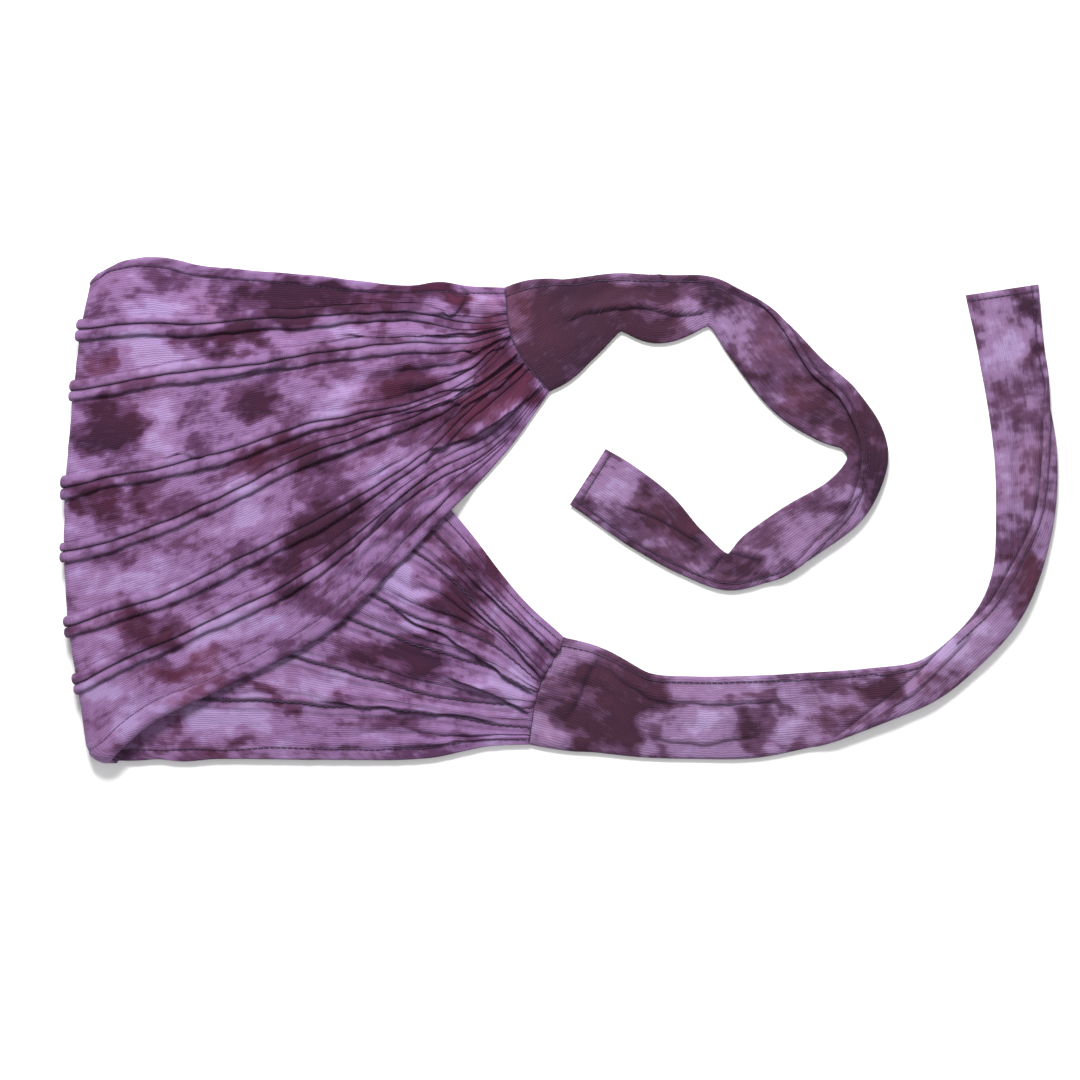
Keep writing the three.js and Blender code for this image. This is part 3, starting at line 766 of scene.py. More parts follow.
def dye_at(points, layer, seed):
    """How much dye, and how red, at an array of points in mm in the frame."""
    x, y = view_pixels(points)
    off_x, off_y = 0 * x, 0 * y
    for across, down, long, wide, x_seed, y_seed in POOL_WOBBLES:
        off_x += across * noise_grid(x, y, long, wide, seed + x_seed)
        off_y += down * noise_grid(x, y, long, wide, seed + y_seed)
    dye = BASE_DYE[layer] + WIDE_DYE * noise_grid(x, y, *WIDE_DYE_SIZES, seed + 4)
    red = BASE_RED + WIDE_RED * noise_grid(x, y, *WIDE_RED_SIZES, seed + 5)
    for pool in POOLS[layer]:
        turn = math.radians(pool["turn"])
        dx, dy = x + off_x - pool["across"], -(y + off_y - pool["down"])
        a = (dx * math.cos(turn) + dy * math.sin(turn)) / pool["long"]
        b = (dy * math.cos(turn) - dx * math.sin(turn)) / pool["wide"]
        near = np.exp(-((a * a + b * b) ** 1.5))
        dye += POOL_STRENGTH * pool["dye"] * near
        red += pool["red"] * near
    mottle = MOTTLE * noise_grid(x, y, *MOTTLE_SIZES, seed + 6)
    dye += mottle + SMALL_MOTTLE * noise_grid(x, y, *SMALL_MOTTLE_SIZES, seed + 7)
    return np.clip(dye, 0, 1), np.clip(red, 0, 1)


NEAR_FOLD = np.array([[-205.0, 40.0, 9.0]])
print("dye and red near the fold:", [part.round(2) for part in dye_at(NEAR_FOLD, "front", 1)])

# %% [markdown]
# A cloth piece is made as a sewer would think of it: a flat slab with a fine grid, which is then laid
# into shape. The grid and the slab come from two bmesh operators, so the faces and the rims are made
# by Blender, and the code only says where each point goes, on the headband and in the cloth's own map.

# %% Lay a slab of cloth into shape
SLAB_THICKNESS = 0.1


def object_from(bm, name):
    """A finished bmesh as an object at the origin."""
    mesh = bpy.data.meshes.new(name)
    bm.to_mesh(mesh)
    bm.free()
    made = bpy.data.objects.new(name, mesh)
    bpy.context.collection.objects.link(made)
    return made


def cloth_piece(name, shape, dye, red):
    """A closed piece of cloth from a shape with outer and inner grids of points in mm."""
    rows, strands = shape.outer.shape[:2]
    bm = bmesh.new()
    bmesh.ops.create_grid(bm, x_segments=rows - 1, y_segments=strands - 1, size=0.5)
    bmesh.ops.solidify(bm, geom=bm.faces[:], thickness=SLAB_THICKNESS)
    bm.verts.ensure_lookup_table()
    flat = np.array([vert.co for vert in bm.verts])
    i = np.rint((flat[:, 0] + 0.5) * (rows - 1)).astype(int)
    j = np.rint((flat[:, 1] + 0.5) * (strands - 1)).astype(int)
    top = flat[:, 2] > -SLAB_THICKNESS / 2
    placed = np.where(top[:, None], shape.outer[i, j], shape.inner[i, j]) * MM
    for vert, place in zip(bm.verts, placed):
        vert.co = place
    bmesh.ops.recalc_face_normals(bm, faces=bm.faces[:])
    piece = object_from(bm, name)
    mesh = piece.data
    # Painted shade goes with the dye, red and roll values, for the material to darken the colour
    values = {"dye": dye, "red": red, "roll": shape.roll, "painted_shade": shape.painted_shade}
    for key, grid in values.items():
        layer = mesh.attributes.new(key, "FLOAT", "POINT")
        layer.data.foreach_set("value", np.asarray(grid, float)[i, j])
    uv = mesh.uv_layers.new(name="cloth")
    corner = np.empty(len(mesh.loops), dtype=np.int32)
    mesh.loops.foreach_get("vertex_index", corner)
    at = np.stack([shape.across[i, j], shape.length[i, j]], axis=-1) * MM
    uv.data.foreach_set("uv", at[corner].ravel())
    mesh.shade_smooth()
    area = sum(face.area for face in mesh.polygons) / 2
    print(name, "triangles:", 2 * len(mesh.polygons), "one face:", round(area * 1e4), "cm2")
    return piece


# %% [markdown]
# The strips and the ties are the same jersey, so what they share is built once, as two shader node
# groups: one for the dye and one for the knit. Each group puts out only colours and values, and the
# shader stays in the material. A few helpers first, so that each group reads as a recipe.

# %% Node helpers
def add_node(tree, kind, **values):
    node = tree.nodes.new(kind)
    for key, value in values.items():
        setattr(node, key, value)
    return node


def new_group(name, inputs, outputs):
    """A shader node group with named sockets. inputs are name, socket type and default."""
    group = bpy.data.node_groups.new(name, "ShaderNodeTree")
    for label, kind, default in inputs:
        socket = group.interface.new_socket(name=label, in_out="INPUT", socket_type=kind)
        if default is not None:
            socket.default_value = default
    for label, kind in outputs:
        group.interface.new_socket(name=label, in_out="OUTPUT", socket_type=kind)
    return group, group.nodes.new("NodeGroupInput"), group.nodes.new("NodeGroupOutput")


def maths(tree, operation, a, b=None, clamp=False):
    """A Math node. a and b are sockets or numbers."""
    node = add_node(tree, "ShaderNodeMath", operation=operation, use_clamp=clamp)
    for socket, value in zip(node.inputs, (a, b)):
        if isinstance(value, (int, float)):
            socket.default_value = value
        elif value is not None:
            tree.links.new(value, socket)
    return node.outputs[0]


def mix_colour(tree, factor, a, b, blend="MIX"):
    node = add_node(tree, "ShaderNodeMix", data_type="RGBA", blend_type=blend)
    for socket, value in ((node.inputs[0], factor), (node.inputs[6], a), (node.inputs[7], b)):
        if isinstance(value, bpy.types.NodeSocket):
            tree.links.new(value, socket)
        else:
            socket.default_value = value
    return node.outputs[2]


def noise_node(tree, vector, scale, detail, roughness=0.5, dimensions="3D"):
    node = add_node(tree, "ShaderNodeTexNoise", noise_dimensions=dimensions)
    node.inputs["Scale"].default_value = scale
    node.inputs["Detail"].default_value = detail
    node.inputs["Roughness"].default_value = roughness
    tree.links.new(vector, node.inputs["Vector"])
    return node.outputs[0]


def linear(r, g, b):
    """A colour given as it looks, from 0 to 255, in the linear values that nodes use."""
    return tuple(pow(value / 255, 2.2) for value in (r, g, b)) + (1.0,)


print("mid grey as nodes have it:", round(linear(128, 128, 128)[0], 3))

# %% [markdown]
# The dye group turns the two numbers of dye at each point into a colour: a ramp from pale to deep
# purple, with wine and rose mixed in where the dye ran red. Two noises mottle it first, one in streaks
# that follow the yarn, because dye creeps along it, and one in soft blotches. Last, painted shade
# darkens the colour towards the deepest purple in the folds, valleys and seams.

# %% Dye group
PALE = linear(140, 117, 159)
MAUVE = linear(120, 90, 130)
PLUM = linear(74, 46, 75)
# The deepest dye, which is also the colour that painted shade darkens the cloth towards
DEEP_DYE_AND_SHADE = linear(40, 22, 41)
WINE = linear(92, 40, 62)
ROSE = linear(142, 98, 130)
DYE_RAMP = [(0.08, PALE), (0.42, MAUVE), (0.74, PLUM), (0.97, DEEP_DYE_AND_SHADE)]
YARN_STRETCH = (620, 95, 1)
BLOTCHES = 110
STREAK_SHARE = 0.34
BLOTCH_SHARE = 0.62
RED_SHARE = 0.75
# How strongly painted shade darkens the colour towards the deepest purple
PAINTED_SHADE_DARKENING = 0.72


def dye_ramp(group, amount):
    ramp = add_node(group, "ShaderNodeValToRGB")
    ramp.color_ramp.interpolation = "EASE"
    stops = ramp.color_ramp.elements
    stops[0].position, stops[0].color = DYE_RAMP[0]
    stops[1].position, stops[1].color = DYE_RAMP[-1]
    for position, colour in DYE_RAMP[1:-1]:
        stops.new(position).color = colour
    group.links.new(amount, ramp.inputs[0])
    return ramp.outputs[0]


def dye_group():
    group, given, result = new_group(
        "dye",
        [
            ("Dye", "NodeSocketFloat", 0.5),
            ("Red", "NodeSocketFloat", 0.2),
            ("Painted shade", "NodeSocketFloat", 0.0),
            ("Strength", "NodeSocketFloat", 1.0),
            ("Cloth", "NodeSocketVector", None),
        ],
        [("Colour", "NodeSocketColor")],
    )
    link = group.links.new
    stretch = add_node(group, "ShaderNodeMapping")
    stretch.inputs["Scale"].default_value = YARN_STRETCH
    link(given.outputs["Cloth"], stretch.inputs["Vector"])
    streak = noise_node(group, stretch.outputs[0], 1, 4, 0.62, "2D")
    blotch = noise_node(group, given.outputs["Cloth"], BLOTCHES, 5, 0.6, "2D")
    fine = maths(group, "MULTIPLY", maths(group, "SUBTRACT", streak, 0.5), STREAK_SHARE)
    wide = maths(group, "MULTIPLY", maths(group, "SUBTRACT", blotch, 0.5), BLOTCH_SHARE)
    mottled = maths(group, "ADD", given.outputs["Dye"], fine)
    mottled = maths(group, "ADD", mottled, wide, clamp=True)
    redness = maths(group, "MULTIPLY", given.outputs["Red"], maths(group, "ADD", blotch, 0.15))
    redness = maths(group, "MULTIPLY", redness, RED_SHARE, clamp=True)
    warm = mix_colour(group, mottled, ROSE, WINE)
    tinted = mix_colour(group, redness, dye_ramp(group, mottled), warm)
    # Painted shade: the colour darkens towards the deepest purple in the folds, valleys and seams
    painted_shade_amount = maths(group, "MULTIPLY", given.outputs["Painted shade"], PAINTED_SHADE_DARKENING)
    worn = add_node(group, "ShaderNodeHueSaturation")
    link(given.outputs["Strength"], worn.inputs["Saturation"])
    link(mix_colour(group, painted_shade_amount, tinted, DEEP_DYE_AND_SHADE), worn.inputs["Color"])
    link(worn.outputs[0], result.inputs["Colour"])
    return group


DYE = dye_group()
print("dye group nodes:", len(DYE.nodes))

# %% [markdown]
# The knit group draws the jersey's ribs as waves in the cloth's own map, so they follow each strip
# round the fold. On a curled allowance the cloth has turned, and so have its ribs. A picture of knit
# would tile and blur, and real loops would be millions of faces, so waves with a little noise do.

# %% Knit group
RIB_PITCH = 0.00105
STITCH_PITCH = 0.0009
UNEVENNESS = 7
UNEVEN_SCALE = 300
RIB_SHADE = 0.05
BASE_SHADE = 0.96
MAIN_WAVES = 0.75
CROSS_WAVES = 0.25
ROLL_CROSS_WAVES = 0.2


def knit_group():
    group, given, result = new_group(
        "knit",
        [
            ("Cloth", "NodeSocketVector", None),
            ("Roll", "NodeSocketFloat", 0.0),
        ],
        [("Height", "NodeSocketFloat"), ("Shade", "NodeSocketFloat")],
    )
    link = group.links.new
    apart = add_node(group, "ShaderNodeSeparateXYZ")
    link(given.outputs["Cloth"], apart.inputs[0])
    uneven = noise_node(group, given.outputs["Cloth"], UNEVEN_SCALE, 3, dimensions="2D")
    shift = maths(group, "MULTIPLY", maths(group, "SUBTRACT", uneven, 0.5), UNEVENNESS)

    def waves(coordinate, pitch):
        turns = maths(group, "MULTIPLY", coordinate, 2 * math.pi / pitch)
        return maths(group, "SINE", maths(group, "ADD", turns, shift))

    def weave(main, main_share, cross, cross_share):
        main_part = maths(group, "MULTIPLY", main, main_share)
        return maths(group, "ADD", main_part, maths(group, "MULTIPLY", cross, cross_share))

    ribs = waves(apart.outputs["X"], RIB_PITCH)
    loops = waves(apart.outputs["Y"], STITCH_PITCH)
    blend = add_node(group, "ShaderNodeMix", data_type="FLOAT")
    link(given.outputs["Roll"], blend.inputs[0])
    link(weave(ribs, MAIN_WAVES, loops, CROSS_WAVES), blend.inputs[2])
    link(weave(loops, MAIN_WAVES, ribs, ROLL_CROSS_WAVES), blend.inputs[3])
    height = blend.outputs[0]
    link(height, result.inputs["Height"])
    shade = maths(group, "ADD", maths(group, "MULTIPLY", height, RIB_SHADE), BASE_SHADE)
    link(shade, result.inputs["Shade"])
    return group


KNIT = knit_group()
print("knit group nodes:", len(KNIT.nodes))

# %% [markdown]
# Cotton jersey is matt, with a soft nap that catches light at grazing angles. So the material is rough,
# with a little sheen, and two bumps lie over each other: the ribs, and a finer fuzz. The ties are a
# little less strongly coloured than the strips, because they are handled more.

# %% Cloth materials
KNIT_DEPTH = 0.00016
KNIT_STRENGTH = 0.6
FUZZ_DEPTH = 0.00008
FUZZ_STRENGTH = 0.43
FUZZ_SCALE = 1500
CLOTH_SPECULAR = 0.2
SHEEN = 0.1
SHEEN_ROUGHNESS = 0.5
SHEEN_TINT = linear(214, 190, 226)


def bump(tree, height, distance, strength, under=None):
    node = add_node(tree, "ShaderNodeBump")
    node.inputs["Strength"].default_value = strength
    node.inputs["Distance"].default_value = distance
    tree.links.new(height, node.inputs["Height"])
    if under is not None:
        tree.links.new(under, node.inputs["Normal"])
    return node.outputs[0]


def jersey(name, roughness, strength):
    material = bpy.data.materials.new(name)
    material.use_nodes = True
    tree = material.node_tree
    shader = tree.nodes["Principled BSDF"]
    link = tree.links.new
    uv = add_node(tree, "ShaderNodeUVMap", uv_map="cloth")
    values = {
        key: add_node(tree, "ShaderNodeAttribute", attribute_name=key).outputs["Fac"]
        for key in ("dye", "red", "roll", "painted_shade")
    }
    dye = add_node(tree, "ShaderNodeGroup", node_tree=DYE)
    knit = add_node(tree, "ShaderNodeGroup", node_tree=KNIT)
    dye.inputs["Strength"].default_value = strength
    link(values["dye"], dye.inputs["Dye"])
    link(values["red"], dye.inputs["Red"])
    # Painted shade of the folds, valleys and seams darkens the dye colour
    link(values["painted_shade"], dye.inputs["Painted shade"])
    link(uv.outputs[0], dye.inputs["Cloth"])
    link(uv.outputs[0], knit.inputs["Cloth"])
    link(values["roll"], knit.inputs["Roll"])
    shade = add_node(tree, "ShaderNodeCombineColor")
    for socket in shade.inputs[:3]:
        link(knit.outputs["Shade"], socket)
    shaded = mix_colour(tree, 1.0, dye.outputs["Colour"], shade.outputs[0], "MULTIPLY")
    link(shaded, shader.inputs["Base Color"])
    place = add_node(tree, "ShaderNodeTexCoord")
    fuzz = noise_node(tree, place.outputs["Object"], FUZZ_SCALE, 2)
    ribs = bump(tree, knit.outputs["Height"], KNIT_DEPTH, KNIT_STRENGTH)
    link(bump(tree, fuzz, FUZZ_DEPTH, FUZZ_STRENGTH, under=ribs), shader.inputs["Normal"])
    shader.inputs["Roughness"].default_value = roughness
    shader.inputs["Specular IOR Level"].default_value = CLOTH_SPECULAR
    shader.inputs["Sheen Weight"].default_value = SHEEN
    shader.inputs["Sheen Roughness"].default_value = SHEEN_ROUGHNESS
    shader.inputs["Sheen Tint"].default_value = SHEEN_TINT
    return material


STRIP_JERSEY = jersey("strip_jersey", roughness=0.92, strength=1.0)
TIE_JERSEY = jersey("tie_jersey", roughness=0.9, strength=0.9)
print("cloth materials:", STRIP_JERSEY.name, TIE_JERSEY.name)

# %% [markdown]
# The seven strips. Each was a long piece of jersey, cut a little narrower towards its ends and gathered
# there. Each is laid between its two lines, dyed on both halves, and stands in the place of its solid.


def dress(piece, node, material):
    piece.data.materials.append(material)
    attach(piece, "root")
    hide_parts(node)


def in_frame(shape):
    shape.outer = shape.outer + FRAME_SHIFT
    shape.inner = shape.inner + FRAME_SHIFT
    return shape


def make_strip(strip):
    shape = in_frame(strip_shape(strip))
    past_fold = smoothstep(ROWS.share, 0, 0.03)
    dyes = []
    for front, back in zip(dye_at(shape.outer, "front", 1), dye_at(shape.inner, "back", 21)):
        dyes.append(np.where(shape.layer > 0, front, lerp(front, back, past_fold)))
    piece = cloth_piece(f"jersey_strip_{strip + 1}", shape, *dyes)
    dress(piece, f"strip_{strip + 1}", STRIP_JERSEY)
    return piece, shape


strips = [make_strip(strip) for strip in range(STRIPS)]

# %% [markdown]
# Each tie is a flat tube: a strip folded along one edge, stitched along the other and across its free
# end. It lies in a loose curve and rolls over itself where it turns. The roll is worked out across the
# tie, as cloth that goes round a small radius and lies back on itself.

# %% Sections of the ties
# right and up: the middle of the tie from its seam, as shares of TIE_LENGTH. width: a share of
# TIE_WIDTH. rolled: the share of the width that lies back over the rest.
TIE_COLUMNS = ("right", "up", "width", "rolled")
UPPER_TIE = [
    (0, 0, 1.5, 0), (0.057, 0.024, 1.2, 0), (0.114, 0.047, 0.8, 0), (0.169, 0.039, 0.94, 0),
    (0.224, 0.048, 0.72, 0.04), (0.252, 0.039, 0.66, 0.08), (0.29, 0.003, 0.96, 0.15),
    (0.343, -0.058, 1.2, 0.25), (0.39, -0.094, 1.14, 0.28), (0.425, -0.124, 0.96, 0.42),
    (0.433, -0.16, 0.9, 0.46), (0.404, -0.207, 0.96, 0.34), (0.351, -0.243, 0.92, 0.22),
    (0.303, -0.275, 0.78, 0.1), (0.256, -0.298, 0.5, 0), (0.204, -0.27, 0.68, 0),
    (0.157, -0.232, 0.9, 0), (0.111, -0.198, 0.93, 0), (0.077, -0.176, 0.9, 0),
]
LOWER_TIE = [
    (0, 0, 1.5, 0), (0.057, -0.012, 1.42, 0), (0.12, -0.03, 1.16, 0), (0.185, -0.034, 1.12, 0),
    (0.262, -0.033, 1.12, 0), (0.337, -0.023, 1.02, 0.06), (0.416, -0.006, 1.02, 0.3),
    (0.485, 0.014, 1.04, 0.5), (0.536, 0.052, 1.06, 0.56), (0.577, 0.099, 1.04, 0.52),
    (0.6, 0.153, 1.06, 0.46), (0.611, 0.224, 1.06, 0.32), (0.612, 0.296, 1.05, 0.26),
    (0.604, 0.361, 0.93, 0.17), (0.595, 0.434, 0.9, 0.04), (0.583, 0.514, 1, 0),
]
print("places along the ties:", len(UPPER_TIE), "and", len(LOWER_TIE))

# %% [markdown]
# Where a tie rolls over itself, more strands are given to the crease than its width would ask for, so
# that the tight bend is round. Where it lies flat they are spread evenly again, and a smooth change
# between the two keeps the strands from jumping.

# %% Strands of a tie
FLOOR_STRANDS = 18
CREASE_STRANDS = 8
FLAP_STRANDS = 14
ROLLING = 0.12


def tie_strand_places(width, rolled):
    """Where the strands lie on the flat tube, from the edge that stays on the floor."""
    steps = FLOOR_STRANDS + CREASE_STRANDS + FLAP_STRANDS
    j = np.arange(steps + 1)[None, :]
    fold_at = width * (1 - rolled)
    bend = np.minimum(math.pi * TIE_ROLL, width * rolled * 0.6)
    low = fold_at * j / FLOOR_STRANDS
    turn = fold_at + bend * (j - FLOOR_STRANDS) / CREASE_STRANDS
    flap = lerp(fold_at + bend, width, (j - FLOOR_STRANDS - CREASE_STRANDS) / FLAP_STRANDS)
    placed = np.where(j <= FLOOR_STRANDS, low, np.where(j <= FLOOR_STRANDS + CREASE_STRANDS, turn, flap))
    return lerp(j / steps * width, placed, smoothstep(rolled, 0, ROLLING))


def rolled_place(place, width, rolled):
    """Where a strand lies once the tie is rolled: how far across, and how far up."""
    crease = width * (1 - rolled)
    past = place - crease
    turn = np.clip(past / TIE_ROLL, 0, math.pi)
    across = np.where(past <= 0, place, crease + TIE_ROLL * np.sin(turn))
    over = past >= math.pi * TIE_ROLL
    across = np.where(over, crease - (past - math.pi * TIE_ROLL), across)
    return across, TIE_ROLL * (1 - np.cos(turn))


print("strands of a tie:", FLOOR_STRANDS + CREASE_STRANDS + FLAP_STRANDS + 1)

# %% [markdown]
# The places in the table are joined by a smooth line, and each row of the tie stands across it. At its
# start a tie follows the seam instead, where the gathered ends of the strips stop. A curve object
# could carry the tie along its route, but its first row couldn't be laid along the seam.

# %% The route of a tie
TIE_ROWS = 300


def run_along(points):
    """The distance along a line of points, from its first one."""
    return np.concatenate([[0], np.cumsum(np.linalg.norm(np.diff(points, axis=0), axis=-1))])


def points_at(points, run, at):
    """The places along a line of points that lie at some distances."""
    return np.stack([np.interp(at, run, points[:, k]) for k in range(points.shape[1])], axis=-1)


def tie_route(sections):
    """A tie's centre line with its direction, left side, length, width and roll, row by row."""
    columns = dict(zip(TIE_COLUMNS, np.array(sections, float).T))
    knots = np.arange(len(sections))
    at = np.linspace(0, len(sections) - 1, TIE_ROWS + 1)
    centre = np.stack([smooth_at(knots, columns[key] * TIE_LENGTH, at) for key in ("right", "up")], axis=-1)
    ahead = np.gradient(centre, axis=0)
    ahead = ahead / np.linalg.norm(ahead, axis=-1, keepdims=True)
    return SimpleNamespace(
        centre=centre,
        ahead=ahead,
        left=np.stack([-ahead[:, 1], ahead[:, 0]], axis=-1),
        length=run_along(centre)[:, None],
        width=TIE_WIDTH * smooth_at(knots, columns["width"], at)[:, None],
        rolled=np.maximum(0, smooth_at(knots, columns["rolled"], at))[:, None],
    )


def tie_seam(half, share):
    """A place on the seam between a half's gathered end and its tie, from the band's top edge down."""
    heights = np.array([line[-1] * BAND_WIDTH for line in half.heights])
    seam = np.stack([half.seam, heights], axis=-1)
    run = run_along(seam)
    return points_at(seam, run, np.asarray(share, float) * run[-1])


for half in (FRONT, BACK):
    print("seam at the tie in mm:", round(float(run_along(tie_seam(half, np.linspace(0, 1, 50)))[-1])))
for sections in (UPPER_TIE, LOWER_TIE):
    print("length of a tie in mm:", round(float(tie_route(sections).length[-1, 0])))

# %% [markdown]
# The tie starts as wide as the seam that it is sewn to and settles to its own route within a few
# centimetres. Two layers lie on each other, so its long edges are round, and it is pressed thinner
# along its stitching. Loose waves lift it a little from the floor between its ends.

# %% Edges, stitching and waves of a tie
EDGE_ROUND = 1.3
LEAST_EDGE = 0.02
TIE_STITCH_INSET = 3.2
STITCH_DIP = 0.36
STITCH_DIP_REACH = 0.7
# Noise, each with its strength and its sizes in mm
WAVE, WAVE_SIZES = 1.1, (48, 9)
SMALL_WAVE, SMALL_WAVE_SIZES = 0.6, (16, 6)
TIE_PUCKER, TIE_PUCKER_SIZES = 0.3, (4.5, 8)
LOOSENESS = 0.35


def tie_plan(route, half, across, roll_side):
    """Where the strands lie as seen from above: along the seam first, then across the route."""
    share = np.linspace(0, 1, across.shape[1])
    seam = tie_seam(half, 1 - share if roll_side > 0 else share)
    middle = (tie_seam(half, 0) + tie_seam(half, 1)) / 2
    settled = smoothstep(np.linalg.norm(route.centre, axis=-1), 0, TIE_SETTLE)[:, None, None]
    straight = route.left[:, None, :] * (roll_side * across)[..., None]
    plan = lerp((seam - middle)[None], straight, settled) + middle + route.centre[:, None, :]
    return plan + route.ahead[0] * SEAM_GAP


def from_stitched_edge(route, place, roll_side, turned_over):
    """How far each strand is from the stitched edge, which changes sides where the tie turns over."""
    other = route.width - place
    over_yet = route.length / route.length[-1] > turned_over
    return other if roll_side > 0 else np.where(over_yet, other, place)


def stitch_dip(stitched, from_end):
    """How far the cloth is pressed down, from 0 to 1, along the stitching of the edge and the end."""
    edge_dip = np.exp(-(((stitched - TIE_STITCH_INSET) / STITCH_DIP_REACH) ** 2))
    end_dip = np.exp(-(((from_end - TIE_STITCH_INSET) / STITCH_DIP_REACH) ** 2))
    return np.maximum(edge_dip, end_dip)


def tie_thickness(edge, from_end, dip):
    q = np.clip(np.minimum(edge, from_end) / EDGE_ROUND, LEAST_EDGE, 1)
    return TIE_THICKNESS * np.sqrt(1 - (1 - q) ** 2) * (1 - STITCH_DIP * dip)


def tie_lift(length, place, stitched, edge, free, seed):
    """How far the loose tie stands off the floor, in waves and in puckers by its stitching."""
    waves = WAVE * noise_grid(length, place, *WAVE_SIZES, seed)
    waves = waves + SMALL_WAVE * noise_grid(length, place, *SMALL_WAVE_SIZES, seed + 1)
    pucker = TIE_PUCKER * noise_grid(length, place, *TIE_PUCKER_SIZES, seed + 2)
    pucker = pucker * np.exp(-(((stitched - 2) / 3) ** 2))
    return np.maximum(waves + LOOSENESS, 0) * free * smoothstep(edge, -2, 6) + np.abs(pucker) * free


print("edge of a tie in mm:", round(float(tie_thickness(0, TIE_LENGTH, 0)), 2), "thick")

# %% [markdown]
# A tie's middle sheet is laid first: its route from above, its height from the roll, the waves and the
# folds laid by hand. The two faces then lie half a thickness to either side. What is under the flap is
# kept calm and dark, because the cloth on top presses it flat and shades it.

# %% The shape of a tie
FLAP_SHADE = 1.1
UNDER_FLAP = 0.3


def tie_shape(half, sections, roll_side, folds, seed, turned_over=1):
    """The two faces of a tie in mm. Past the share turned_over its stitching is on the other edge."""
    route = tie_route(sections)
    width, rolled, length = route.width, route.rolled, route.length
    place = tie_strand_places(width, rolled)
    across, above = rolled_place(place, width, rolled)
    across = across - (across.min(axis=1) + across.max(axis=1))[:, None] / 2
    from_end = length[-1] - length
    edge = np.minimum(place, width - place)
    stitched = from_stitched_edge(route, place, roll_side, turned_over)
    dip = stitch_dip(stitched, from_end)
    free = smoothstep(length, 0, 8) * smoothstep(from_end, 2, 16)
    lift = tie_lift(length, place, stitched, edge, free, seed)
    z = TIE_THICKNESS / 2 + above + lift
    mid = np.concatenate([tie_plan(route, half, across, roll_side), z[..., None]], axis=-1)
    creases, dark = laid_folds(mid + FRAME_SHIFT, folds, seed + 4)
    below = above < TIE_ROLL
    uncovered = np.where((rolled > ROLLING) & below, UNDER_FLAP, 1)
    mid[..., 2] += creases * free * uncovered * smoothstep(edge, 0, 4)
    from_flap = across[:, -1:] - across
    flap_shadow = np.exp(-(((from_flap - FLAP_SHADE / 2) / FLAP_SHADE) ** 2))
    flap_shadow = 0.9 * below * smoothstep(rolled, ROLLING, 2 * ROLLING) * flap_shadow
    half_thick = facing(mid) * (tie_thickness(edge, from_end, dip) / 2)[..., None]
    outer, inner = mid + half_thick, mid - half_thick
    for face in (outer, inner):
        face[..., 2] = np.maximum(face[..., 2], 0)
    return SimpleNamespace(
        outer=outer,
        inner=inner,
        across=place + 0 * length,
        length=length + 0 * place,
        roll=0 * place,
        # Painted shade along the pressed stitching, in the folds' creases and by the flap's free edge
        painted_shade=np.maximum(0.7 * dip, np.maximum(dark * free * uncovered, flap_shadow)),
        stitched=stitched,
    )


print("most of the lower tie that lies over:", max(section[-1] for section in LOWER_TIE))

# %% [markdown]
# The two ties. The upper one is sewn to the front half and curls back on itself, and the lower one is
# sewn to the back half and bends up beyond it. A flat tube that lies pressed shows only its
# outside, so each tie is one closed piece. Past its bend the lower tie's stitching is on its other edge.

# %% Ties
LOWER_TURN = 0.53


def make_tie(name, half, sections, roll_side, folds, seed, turned_over=1):
    shape = in_frame(tie_shape(half, sections, roll_side, folds, seed, turned_over))
    dye, red = dye_at(shape.outer, name, seed + 30)
    piece = cloth_piece(f"jersey_tie_{name}", shape, dye, red)
    dress(piece, f"tie_{name}", TIE_JERSEY)
    return shape


upper_tie = make_tie("upper", FRONT, UPPER_TIE, 1, UPPER_FOLDS, 60)
lower_tie = make_tie("lower", BACK, LOWER_TIE, -1, LOWER_FOLDS, 70, LOWER_TURN)

# %% [markdown]
# The stitching is thread that dips in and out of the cloth, so what shows is a row of short dark
# dashes. Each is a small rod from a cone operator, laid from one needle hole to the next along a
# strand of the cloth. A bump would be enough from far away, but real rods catch the light.

# %% Rows of stitches
THREAD_RADIUS = 0.22
THREAD_SIDES = 6
STITCH_LENGTH = 2.7
STITCH_SHOWN = 0.8
THREAD_DARK = linear(34, 18, 42)
THREAD_LIGHT = linear(66, 40, 74)
THREAD_ROUGHNESS = 0.75
TWIST_SCALE = 900


def lay_stitches(bm, points, step=STITCH_LENGTH, shown=STITCH_SHOWN, zigzag=0.0, radius=THREAD_RADIUS):
    """A row of rods along a line of points. shown is the share of each stitch that lies on top."""
    run = run_along(points)
    holes = points_at(points, run, np.arange(0, run[-1], step))
    for n, (start, end) in enumerate(zip(holes, holes[1:])):
        ahead = end - start
        side = np.array([-ahead[1], ahead[0], 0]) / max(np.linalg.norm(ahead), 1e-6)
        sway = side * zigzag * (1 if n % 2 else -1)
        rod = Vector((end - start - 2 * sway) * MM)
        middle = Vector((start + end) / 2 * MM)
        turn = rod.to_track_quat("Z", "Y").to_matrix().to_4x4()
        bmesh.ops.create_cone(
            bm, cap_ends=True, segments=THREAD_SIDES, radius1=radius * MM, radius2=radius * MM,
            depth=rod.length * shown, matrix=Matrix.Translation(middle) @ turn,
        )
    return len(holes) - 1


def thread_material():
    material = bpy.data.materials.new("thread")
    material.use_nodes = True
    tree = material.node_tree
    shader = tree.nodes["Principled BSDF"]
    place = add_node(tree, "ShaderNodeTexCoord")
    twist = noise_node(tree, place.outputs["Object"], TWIST_SCALE, 2)
    colour = mix_colour(tree, twist, THREAD_DARK, THREAD_LIGHT)
    tree.links.new(colour, shader.inputs["Base Color"])
    shader.inputs["Roughness"].default_value = THREAD_ROUGHNESS
    return material


THREAD = thread_material()


